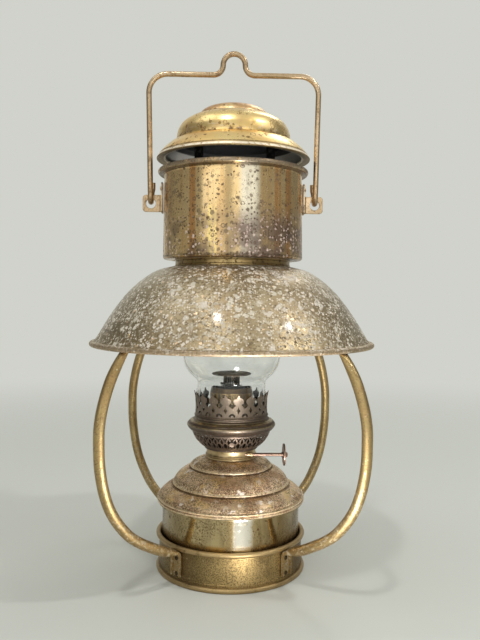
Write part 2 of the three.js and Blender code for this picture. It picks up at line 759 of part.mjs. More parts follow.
// Wick tubes: an outer tube, a draft tube inside it and a bright sleeve round both
function wickTubes() {
  const flange = wickTubeRadius + 2 * sheet;
  const foot = basketBottom + crownWall + gap;
  const inner = wickTubeRadius - wickTubeWall;
  const outline = [
    point(inner, foot), point(flange, foot), point(flange, foot + sheet),
    point(wickTubeRadius, foot + sheet), point(wickTubeRadius, tubeTop), point(inner, tubeTop),
  ];
  add("wick_tube", turned(outline, burnerSides), burnerBronze);
  const low = spindleZ - cogRadius;
  const draft = [
    point(draftInner, low), point(draftOuter, low), point(draftOuter, tubeTop), point(draftInner, tubeTop),
  ];
  const half = draftWebWidth / 2;
  const reach = Math.sqrt(fontCollarRadius ** 2 - half ** 2);
  const web = block([-half, draftOuter - wickTubeWall / 2, low], [half, reach, collarTop]);
  add("draft_tube", fromSolid(toSolid(turned(draft, burnerSides)).add(toSolid(web))), sooty);
}

function deflector() {
  const ledge = seatTop - crownWall - gap;
  const edge = crownRadius - crownWall - gap;
  const taper = tubeTop - 2 * (deflectorRadius - deflectorMouthRadius);
  const outline = [
    point(deflectorRadius - crownWall, ledge - crownWall), point(edge, ledge - crownWall),
    point(edge, ledge), point(deflectorRadius, ledge), point(deflectorRadius, taper),
    point(deflectorMouthRadius, tubeTop), point(deflectorMouthRadius - crownWall, tubeTop),
    point(deflectorRadius - crownWall, taper),
  ];
  let sleeve = toSolid(turned(outline, burnerSides));
  for (let i = 0; i < deflectorHoles; i += 1) {
    const depth = 4 * crownWall;
    const hole = new THREE.CylinderGeometry(deflectorHoleRadius, deflectorHoleRadius, depth, rodSides);
    hole.rotateX(Math.PI / 2).translate(0, (deflectorRadius + edge) / 2, ledge - crownWall / 2);
    hole.rotateZ(((i + 0.5) * 2 * Math.PI) / deflectorHoles);
    sleeve = sleeve.subtract(toSolid(hole));
  }
  add("air_deflector", fromSolid(sleeve), polishedBrass);
}

// Wick: a flat wick rolled into a tube with an open seam at the back
function wick() {
  const open = wickSeamHalf * degree;
  const [start, end] = [Math.PI / 2 + open, Math.PI / 2 + 2 * Math.PI - open];
  const outline = new THREE.Shape();
  outline.absarc(0, 0, wickOuter, start, end, false);
  outline.absarc(0, 0, wickInner, end, start, true);
  const depth = wickLength;
  const geometry = new THREE.ExtrudeGeometry(outline, { depth, bevelEnabled: false, curveSegments: 20 });
  add("wick", geometry.translate(0, 0, tubeTop + wickProud - wickLength), cotton);
}

// Flame spreader: a dished disc on a pierced stem whose skirt drops into the draft tube
function spreader() {
  const z = tubeTop + discLift;
  const half = discThickness / 2;
  const disc = [
    point(0, z - half), point(discRadius - discThickness, z - half), point(discRadius, z),
    point(discRadius - discThickness, z + half), point(discRadius / 4, z + half + discDish / 2),
    point(discRadius / 8, z + half + discDish), point(0, z + half + discDish),
  ];
  add("flame_disc", turned(disc, burnerSides), sooty);
  const seat = tubeTop + gap;
  const neckTop = z - half - gap;
  const shoulder = neckTop - stemHeight;
  const wall = wickTubeWall;
  const stem = [
    point(skirtRadius - wall, seat - stemDepth), point(skirtRadius, seat - stemDepth),
    point(skirtRadius, seat),
    point(draftOuter, seat), point(draftOuter, seat + wall), point(stemFootRadius, shoulder - wall),
    point(stemFootRadius, shoulder), point(stemRadius, shoulder + wall), point(stemRadius, neckTop),
    point(stemRadius - wall, neckTop), point(stemRadius - wall, shoulder),
    point(skirtRadius - wall, seat + wall / 2),
  ];
  add("spreader_stem", turned(stem, burnerSides), sooty);
}

// Winder: a spindle with two cogs against the wick, a wheel outside and its end nut
function cog(centre) {
  const tooth = 2 * Math.PI / cogTeeth;
  const outline = [];
  for (let i = 0; i < cogTeeth; i += 1) {
    outline.push(point(cogRadius * Math.cos(i * tooth), cogRadius * Math.sin(i * tooth)));
    const root = cogRadius * cogRootShare;
    outline.push(point(root * Math.cos((i + 0.5) * tooth), root * Math.sin((i + 0.5) * tooth)));
  }
  const shape = new THREE.Shape(outline);
  const geometry = new THREE.ExtrudeGeometry(shape, { depth: cogWidth, bevelEnabled: false });
  geometry.rotateY(Math.PI / 2).translate(centre - cogWidth / 2, spindleY, spindleZ);
  const bore = shaft(centre - cogWidth, centre + cogWidth, spindleRadius + gap, spindleY, spindleZ);
  return fromSolid(toSolid(geometry).subtract(toSolid(bore)));
}

function winder() {
  const start = -(cogPitch + cogWidth) / 2 - spindleEnd;
  const wheelX = spindleReach;
  const end = wheelX + wheelThickness / 2 + hubLength / 2;
  add("winder_spindle", shaft(start, end, spindleRadius, spindleY, spindleZ), copperBrown);
  add("wick_cog_left", cog(-cogPitch / 2), agedBrass);
  add("wick_cog_right", cog(cogPitch / 2), agedBrass);
  const half = wheelThickness / 2;
  const bore = spindleRadius + gap;
  const wheel = [
    point(bore, -half), point(wheelRadius - half, -half), point(wheelRadius, 0),
    point(wheelRadius - half, half), point(bore, half),
  ];
  const turnToX = (geometry, x) => geometry.rotateY(Math.PI / 2).translate(x, spindleY, spindleZ);
  add("winder_wheel", turnToX(turned(wheel, 2 * pinSides), wheelX), copperBrown);
  const ring = (low, high) => [
    point(bore, low), point(hubRadius, low), point(hubRadius, high), point(bore, high),
  ];
  const nut = turned(ring(half + gap, half + gap + hubLength), pinSides);
  add("winder_nut", turnToX(nut, wheelX), copperBrown);
  const shoulder = turned(ring(-half - gap - hubLength / 2, -half - gap), pinSides);
  add("winder_shoulder", turnToX(shoulder, wheelX), copperBrown);
}

// Chimney: a clear glass tube with a foot, a bulge and a straight neck
const glassFootShares = [[1, 0], [0.99, 0.88], [0.98, 0.97]];
const glassBulgeShares = [[0.14, 0.06], [0.5, 0.22], [0.76, 0.4], [0.91, 0.58], [0.975, 0.78], [1, 1]];
const glassNeckShares = [
  [0.93, 0.07], [0.76, 0.14], [0.49, 0.2], [0.24, 0.256], [0.1, 0.31], [0.03, 0.38], [0, 0.55], [0, 1],
];

function chimney() {
  const foot = glassFootShares.map(([across, up]) =>
    point(glassFootRadius * across, chimneyBottom + glassFootHeight * up));
  const throat = glassFootRadius * glassFootShares[2][0];
  const bulge = glassBulgeShares.map(([across, up]) =>
    point(throat + (glassBulgeRadius - throat) * across,
      chimneyBottom + glassFootHeight + (glassBulgeHeight - glassFootHeight) * up));
  const neckSpan = glassHeight - glassBulgeHeight;
  const neckLine = glassNeckShares.map(([across, up]) =>
    point(glassTopRadius + (glassBulgeRadius - glassTopRadius) * across,
      chimneyBottom + glassBulgeHeight + neckSpan * up));
  const outer = [...foot, ...bulge, ...neckLine];
  const inner = moved(outer, -glassWall).filter((_, i) => i % 2 === 0).reverse();
  add("glass_chimney", turned([...outer, ...inner], glassSides), glass);
}

baseRing();
baseFloor();
cage();
shade();
neck();
hood();
cap();
capStraps();
ears();
bail();
font();
burnerCollar();
basket();
galleryRing();
crown();
wickTubes();
deflector();
wick();
spreader();
winder();
chimney();

export default lantern;
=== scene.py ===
import json
import math

import bmesh
import bpy
from mathutils import Matrix, Vector


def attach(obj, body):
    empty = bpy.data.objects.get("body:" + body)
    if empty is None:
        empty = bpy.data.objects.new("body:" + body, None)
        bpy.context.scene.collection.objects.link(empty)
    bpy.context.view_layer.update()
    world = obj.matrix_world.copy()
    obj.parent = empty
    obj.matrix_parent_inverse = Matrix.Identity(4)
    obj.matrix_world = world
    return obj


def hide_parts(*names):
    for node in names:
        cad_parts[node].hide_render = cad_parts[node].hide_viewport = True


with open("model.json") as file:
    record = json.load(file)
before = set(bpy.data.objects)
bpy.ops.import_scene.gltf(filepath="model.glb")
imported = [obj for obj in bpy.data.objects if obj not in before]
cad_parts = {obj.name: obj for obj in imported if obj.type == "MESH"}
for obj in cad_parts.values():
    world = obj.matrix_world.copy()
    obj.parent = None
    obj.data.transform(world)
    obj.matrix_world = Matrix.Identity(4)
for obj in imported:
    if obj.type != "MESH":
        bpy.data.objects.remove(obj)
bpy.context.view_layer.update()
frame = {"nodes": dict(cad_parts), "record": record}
mm = 0.001
print("lantern: frame loaded")

# Lines of (radius, height) in millimetres


def curved(a, b, c, d, t):
    # t of the way from b to c, on the smooth line through all four
    square, cube = 2 * a - 5 * b + 4 * c - d, 3 * b - a - 3 * c + d
    return 0.5 * (2 * b + (c - a) * t + square * t**2 + cube * t**3)


def smoothLine(places, steps=6):
    # a smooth line through every place
    line = []
    last = len(places) - 1
    for i in range(last):
        near = [places[max(i - 1, 0)], places[i], places[i + 1], places[min(i + 2, last)]]
        line += [tuple(curved(*values, k / steps) for values in zip(*near)) for k in range(steps)]
    return line + [tuple(places[last])]


def bend(centre, radius, start, end, steps=8):
    # an arc from one angle to another, in degrees
    angles = [math.radians(start + (end - start) * k / steps) for k in range(steps + 1)]
    return [(centre[0] + radius * math.cos(a), centre[1] + radius * math.sin(a)) for a in angles]


def beside(line, wall):
    # the same line moved to the right of its direction
    moved = []
    for i, (x, y) in enumerate(line):
        before, after = line[max(i - 1, 0)], line[min(i + 1, len(line) - 1)]
        dx, dy = after[0] - before[0], after[1] - before[1]
        size = math.hypot(dx, dy)
        moved.append((x + dy / size * wall, y - dx / size * wall))
    return moved


def between(start, end, share):
    return tuple(a + (b - a) * share for a, b in zip(start, end))


# Meshes

# how many sides a turned piece gets, by its width
wideSides, evenSides, burnerSides, slimSides, pinSides, headSides = 192, 128, 144, 96, 32, 24


def placed(name, data):
    thing = bpy.data.objects.new(name, data)
    bpy.context.collection.objects.link(thing)
    return thing


def finishPiece(name, mesh, crease=38):
    # faces outwards, and smooth but for edges sharper than the crease
    work = bmesh.new()
    work.from_mesh(mesh)
    bmesh.ops.recalc_face_normals(work, faces=work.faces)
    work.to_mesh(mesh)
    work.free()
    mesh.shade_smooth()
    mesh.set_sharp_from_angle(angle=math.radians(crease))
    return placed(name, mesh)


def newPiece(name, verts, faces, crease=38):
    mesh = bpy.data.meshes.new(name)
    mesh.from_pydata([Vector(v) * mm for v in verts], [], faces)
    return finishPiece(name, mesh, crease)


def lathe(name, outline, turns=evenSides, ripple=None, crease=38, inside=None):
    # a turned body from a closed outline; ripple gives (outline indices, depth) for a knurled edge,
    # and inside the first and last outline index of the inner side, which the finishes read
    verts, rings, hidden = [], [], []
    for i, (radius, height) in enumerate(outline):
        count = turns if radius > 0 else 1
        rings.append([len(verts) + k % count for k in range(turns)])
        hidden += [1.0 if inside and inside[0] <= i <= inside[1] else 0.0] * count
        for k in range(count):
            angle = 2 * math.pi * k / turns
            reach = radius - (ripple[1] if ripple and i in ripple[0] and k % 2 else 0)
            verts.append((reach * math.sin(angle), -reach * math.cos(angle), height))
    pairs = list(zip(rings, rings[1:]))
    if outline[0][0] > 0:
        pairs.append((rings[-1], rings[0]))
    faces = []
    for low, high in pairs:
        for k in range(turns):
            following = (k + 1) % turns
            corners = list(dict.fromkeys([low[k], low[following], high[following], high[k]]))
            if len(corners) > 2:
                faces.append(corners)
    piece = newPiece(name, verts, faces, crease)
    piece.data.attributes.new("inside", "FLOAT", "POINT").data.foreach_set("value", hidden)
    return piece


def turned(piece, degrees, axis="Z"):
    piece.data.transform(Matrix.Rotation(math.radians(degrees), 4, axis))
    return piece


def moved(piece, x, y=0, z=0):
    piece.data.transform(Matrix.Translation(Vector((x, y, z)) * mm))
    return piece


def joined(name, pieces):
    # one mesh from several, without the objects that made it
    work = bmesh.new()
    for piece in pieces:
        work.from_mesh(piece.data)
        bpy.data.objects.remove(piece)
    mesh = bpy.data.meshes.new(name)
    work.to_mesh(mesh)
    work.free()
    return finishPiece(name, mesh)


def polyline(curve, places, closed=False):
    spline = curve.splines.new("POLY")
    spline.points.add(len(places) - 1)
    for point, place in zip(spline.points, places):
        point.co = (*(Vector(place) * mm), 1)
    spline.use_cyclic_u = closed


def plate(name, outlines, thickness, rounding):
    # a flat plate with rounded edges from closed outlines in its own plane, the inner ones holes
    curve = bpy.data.curves.new(name, "CURVE")
    curve.dimensions = "2D"
    curve.fill_mode = "BOTH"
    curve.extrude = (thickness / 2 - rounding) * mm
    curve.bevel_depth = rounding * mm
    curve.offset = -rounding * mm
    for outline in outlines:
        polyline(curve, [(x, y, 0) for x, y in outline], True)
    holder = placed(name + "Outline", curve)
    mesh = bpy.data.meshes.new_from_object(holder.evaluated_get(bpy.context.evaluated_depsgraph_get()))
    bpy.data.objects.remove(holder)
    work = bmesh.new()
    work.from_mesh(mesh)
    bmesh.ops.remove_doubles(work, verts=work.verts, dist=0.01 * mm)
    work.to_mesh(mesh)
    work.free()
    return finishPiece(name, mesh)


def bar(near, far):
    # the places and faces of a bar between two rings of as many places
    count = len(near)
    faces = [list(range(count)), list(range(count, 2 * count))[::-1]]
    faces += [[k, k + count, (k + 1) % count + count, (k + 1) % count] for k in range(count)]
    return near + far, faces


# Geometry Nodes


class Tree:
    # a node tree whose named inputs are set on the modifier by their identifiers
    def __init__(self, name, inputs):
        self.tree = bpy.data.node_groups.new(name, "GeometryNodeTree")
        self.tree.interface.new_socket("Geometry", in_out="INPUT", socket_type="NodeSocketGeometry")
        for label, kind in inputs.items():
            self.tree.interface.new_socket(label, in_out="INPUT", socket_type="NodeSocket" + kind)
        self.tree.interface.new_socket("Geometry", in_out="OUTPUT", socket_type="NodeSocketGeometry")
        self.start = self.tree.nodes.new("NodeGroupInput").outputs

    def node(self, kind, settings=None, sockets=None):
        made = self.tree.nodes.new(kind)
        for name, value in (settings or {}).items():
            setattr(made, name, value)
        for key, value in (sockets or {}).items():
            if isinstance(value, bpy.types.NodeSocket):
                self.tree.links.new(value, made.inputs[key])
            else:
                made.inputs[key].default_value = value
        return made.outputs[0]

    def maths(self, operation, first, second):
        return self.node("ShaderNodeMath", {"operation": operation}, {0: first, 1: second})

    def copies(self, points, tool, rotation):
        # the tool's mesh on every point
        info = self.node("GeometryNodeObjectInfo", None, {"Object": self.start[tool]}).node
        sockets = {"Points": points, "Instance": info.outputs["Geometry"], "Rotation": rotation}
        return self.node("GeometryNodeInstanceOnPoints", None, sockets)

    def close(self, geometry):
        solid = self.node("GeometryNodeRealizeInstances", None, {0: geometry})
        painted = self.node("GeometryNodeSetMaterial", None, {0: solid, "Material": self.start["Material"]})
        output = self.tree.nodes.new("NodeGroupOutput")
        self.tree.links.new(painted, output.inputs[0])
        return self

    def run(self, piece, values):
        # the tree's result as a plain mesh in the piece's place
        modifier = piece.modifiers.new("nodes", "NODES")
        modifier.node_group = self.tree
        for item in self.tree.interface.items_tree:
            if item.in_out == "INPUT" and item.name in values:
                modifier[item.identifier] = values[item.name]
        graph = bpy.context.evaluated_depsgraph_get()
        mesh = bpy.data.meshes.new_from_object(piece.evaluated_get(graph), depsgraph=graph)
        piece.modifiers.clear()
        name = piece.name
        bpy.data.objects.remove(piece)
        return finishPiece(name, mesh)


def holesTree():
    # cutters round the axis, taken out of a turned wall
    tree = Tree("holesRound", {"Cutter": "Object", "Count": "Int", "Turn": "Float", "Material": "Material"})
    start = tree.start
    points = tree.node("GeometryNodePoints", None, {"Count": start["Count"]})
    share = tree.maths("DIVIDE", tree.node("GeometryNodeInputIndex"), start["Count"])
    angle = tree.maths("ADD", tree.maths("MULTIPLY", share, 2 * math.pi), start["Turn"])
    euler = tree.node("ShaderNodeCombineXYZ", None, {2: angle})
    rotation = tree.node("FunctionNodeEulerToRotation", None, {0: euler})
    solid = tree.node("GeometryNodeRealizeInstances", None, {0: tree.copies(points, "Cutter", rotation)})
    settings = {"operation": "DIFFERENCE", "solver": "MANIFOLD"}
    sockets = {"Mesh 1": start["Geometry"], "Mesh 2": solid}
    return tree.close(tree.node("GeometryNodeMeshBoolean", settings, sockets))


def headsTree():
    # one rivet head on each point, aimed along the point's own direction
    tree = Tree("rivetHeads", {"Head": "Object", "Material": "Material"})
    aim = tree.node("GeometryNodeInputNamedAttribute", {"data_type": "FLOAT_VECTOR"}, {"Name": "aim"})
    turn = tree.node("FunctionNodeAlignRotationToVector", {"axis": "Z"}, {"Vector": aim})
    return tree.close(tree.copies(tree.start["Geometry"], "Head", turn))


def rodTree():
    # a round rod along a curve
    tree = Tree("roundRod", {"Radius": "Float", "Sides": "Int", "Material": "Material"})
    sockets = {"Resolution": tree.start["Sides"], "Radius": tree.start["Radius"]}
    section = tree.node("GeometryNodeCurvePrimitiveCircle", None, sockets)
    sockets = {0: tree.start["Geometry"], 1: section, "Fill Caps": True}
    return tree.close(tree.node("GeometryNodeCurveToMesh", None, sockets))


# Shader maths


class Wire:
    # a socket in a material's tree, so that shader maths reads as an expression
    def __init__(self, tree, socket=None):
        self.tree = tree
        self.socket = socket

    def node(self, kind, settings=None, sockets=None, out=0):
        made = self.tree.nodes.new(kind)
        for name, value in (settings or {}).items():
            setattr(made, name, value)
        for key, value in (sockets or {}).items():
            if isinstance(value, Wire):
                self.tree.links.new(value.socket, made.inputs[key])
            else:
                made.inputs[key].default_value = value
        return Wire(self.tree, made.outputs[out])

    def also(self, out):
        # another output of the same node
        return Wire(self.tree, self.socket.node.outputs[out])

    def maths(self, operation, *others):
        return self.node("ShaderNodeMath", {"operation": operation}, dict(enumerate((self, *others))))

    def __add__(self, other):
        return self.maths("ADD", other)

    def __sub__(self, other):
        return self.maths("SUBTRACT", other)

    def __rsub__(self, other):
        return self.node("ShaderNodeMath", {"operation": "SUBTRACT"}, {0: other, 1: self})

    def __mul__(self, other):
        return self.maths("MULTIPLY", other)

    __radd__ = __add__
    __rmul__ = __mul__

    def vector(self, operation, sockets=None, out=0):
        sockets = {0: self, **(sockets or {})}
        return self.node("ShaderNodeVectorMath", {"operation": operation}, sockets, out)

    def ease(self, low, high):
        # 0 below low and 1 above high, with a smooth step between
        sockets = {0: self, 1: low, 2: high}
        return self.node("ShaderNodeMapRange", {"interpolation_type": "SMOOTHSTEP"}, sockets)

    def blend(self, first, second):
        # first where this is 0 and second where it is 1, for colours
        sockets = {"Factor": self, 6: first, 7: second}
        return self.node("ShaderNodeMix", {"data_type": "RGBA"}, sockets, 2)

    def cloud(self, scale, detail=4.0, roughness=0.6, distortion=0.0):
        sockets = {"Vector": self, "Scale": scale, "Detail": detail}
        sockets.update({"Roughness": roughness, "Distortion": distortion})
        return self.node("ShaderNodeTexNoise", None, sockets)

    def bumped(self, strength, distance, height):
        sockets = {"Strength": strength, "Distance": distance, "Height": height}
        return self.node("ShaderNodeBump", None, sockets)


def tone(red, green, blue):
    # a screen colour from 0 to 255 as a linear one
    colour = [((c / 255 + 0.055) / 1.055) ** 2.4 if c > 10 else c / 255 / 12.92 for c in (red, green, blue)]
    return (*colour, 1.0)


def blankMaterial(name):
    # an empty material, and the place of each point on the piece
    material = bpy.data.materials.new(name)
    material.use_nodes = True
    material.node_tree.nodes.clear()
    return material, Wire(material.node_tree).node("ShaderNodeTexCoord", None, None, "Object")


def surfaced(material, shader):
    output = material.node_tree.nodes.new("ShaderNodeOutputMaterial")
    material.node_tree.links.new(shader.socket, output.inputs["Surface"])
    return material


# Layers of tarnish, spots and bloom, and of painted light. Each has a colour from 0 to 255, a roughness and
# an amount, and where it shows: height and side fade it in from one place to another, bands by height and the
# stripes across are stripes by their middle and half width, all in millimetres, and within is a cloud (scale,
# start, full). The stripes across are all painted reflections and highlights, at fixed places seen from the
# front.


def layer(mask, colour, roughness, amount, **where):
    return {"mask": mask, "colour": tone(*colour), "roughness": roughness, "amount": amount, **where}


def clouds(scale, start, full, colour, roughness, amount, detail=5, rough=0.6, twist=0, **where):
    # patches of noise, scale lumps to a metre, that show from start and are full at full
    def mask(place, height):
        return place.cloud(scale, detail, rough, twist).ease(start, full)
    return layer(mask, colour, roughness, amount, **where)


def raggedCells(place, scale, share, size, shake):
    # how far the nearest spot's middle is, and how wide that spot is
    drift = place.node("ShaderNodeTexNoise", None, {"Vector": place, "Scale": scale * 1.7, "Detail": 3.0}, 1)
    ragged = place.vector("ADD", {1: drift.vector("SCALE", {"Scale": shake / scale})})
    far = place.node("ShaderNodeTexVoronoi", None, {"Vector": ragged, "Scale": scale})
    chance = far.node("ShaderNodeSeparateColor", None, {0: far.also("Color")})
    return far, chance.ease(1 - share, 1.0) * size


def spots(scale, share, size, soft, colour, roughness, amount, shake=0.35, **where):
    # ragged spots in a share of the cells, scale cells to a metre, with a soft edge
    def mask(place, height):
        far, wide = raggedCells(place, scale, share, size, shake)
        return (wide - far).ease(0.0, soft)
    return layer(mask, colour, roughness, amount, **where)


def rings(scale, share, size, soft, colour, roughness, amount, shake=0.35, **where):
    # the edges of such spots
    def mask(place, height):
        far, wide = raggedCells(place, scale, share, size, shake)
        return (1 - (far - wide).maths("ABSOLUTE").ease(0.02, soft)) * wide.ease(0.02, 0.1)
    return layer(mask, colour, roughness, amount, **where)


def fade(start, full, colour, roughness, amount, **where):
    # comes in from one height to another
    def mask(place, height):
        return height.ease(start * mm, full * mm)
    return layer(mask, colour, roughness, amount, **where)


def innerSide(colour, roughness, **where):
    # covers the inner side of a turned piece
    def mask(place, height):
        return place.node("ShaderNodeAttribute", {"attribute_name": "inside"}, None, "Fac").ease(0.4, 0.6)
    return layer(mask, colour, roughness, 1.0, **where)


def stripes(value, places):
    # 1 on each stripe, given by its middle and half its width
    lines = None
    for middle, half in places:
        line = 1 - (value - middle * mm).maths("ABSOLUTE").ease(half * 0.5 * mm, half * mm)
        lines = line if lines is None else lines.maths("MAXIMUM", line)
    return lines


def shown(over, place, across, height):
    # how much of a layer shows at each place
    spread = place.vector("MULTIPLY", {1: over.get("stretch", (1, 1, 1))})
    mask = over["mask"](spread, height)
    for key, value in (("height", height), ("side", across)):
        if key in over:
            low, high = over[key]
            mask = mask * value.ease(low * mm, high * mm)
    # stripes by height, and stripes across that are painted reflections and highlights
    for key, value in (("bands", height), ("streaks", across)):
        if key in over:
            mask = mask * stripes(value, over[key])
    if "within" in over:
        scale, low, high = over["within"]
        mask = mask * spread.cloud(scale, 2.0).ease(low, high)
    return mask * over["amount"]


# clouds are (scale, detail) and spread is where the second tone starts and is full
metal = {
    "tones": (18, 3.0), "spread": (0.35, 0.68), "grain": (900, 3.0), "grainRise": 0.15, "bump": 0.5,
    "relief": 0.2, "coatRoughness": 0.12, "brushTurn": 0.25,
}


def metalFinish(name, look):
    # a metal in two tones, with its layers over it
    material, place = blankMaterial(name)
    across = place.node("ShaderNodeSeparateXYZ", None, {0: place})
    height = across.also(2)
    wide = place.cloud(*metal["tones"]).ease(*metal["spread"])
    colour = wide.blend(*[tone(*values) for values in look["colours"]])
    smooth, dull = look["roughness"]
    rough = smooth + wide * (dull - smooth)
    shine = 1.0
    relief = place.cloud(*metal["grain"]) * look.get("grain", metal["grainRise"])
    for over in look["layers"]:
        mask = shown(over, place, across, height)
        colour = mask.blend(colour, over["colour"])
        rough = rough + mask * (over["roughness"] - rough)
        if "metallic" in over:
            shine = (1 - mask) * shine + mask * over["metallic"]
        if "rise" in over:
            relief = relief + mask * over["rise"]
    normal = place.bumped(look.get("bump", metal["bump"]), metal["relief"] * mm, relief)
    sockets = {"Base Color": colour, "Roughness": rough, "Metallic": shine, "Normal": normal}
    if "coat" in look:
        weight, low, high = look["coat"]
        sockets["Coat Weight"] = height.ease(low * mm, high * mm) * weight
        sockets["Coat Roughness"] = metal["coatRoughness"]
    if "brushed" in look:
        sockets["Anisotropic"] = look["brushed"]
        sockets["Anisotropic Rotation"] = metal["brushTurn"]
    return surfaced(material, place.node("ShaderNodeBsdfPrincipled", None, sockets))


# Finishes

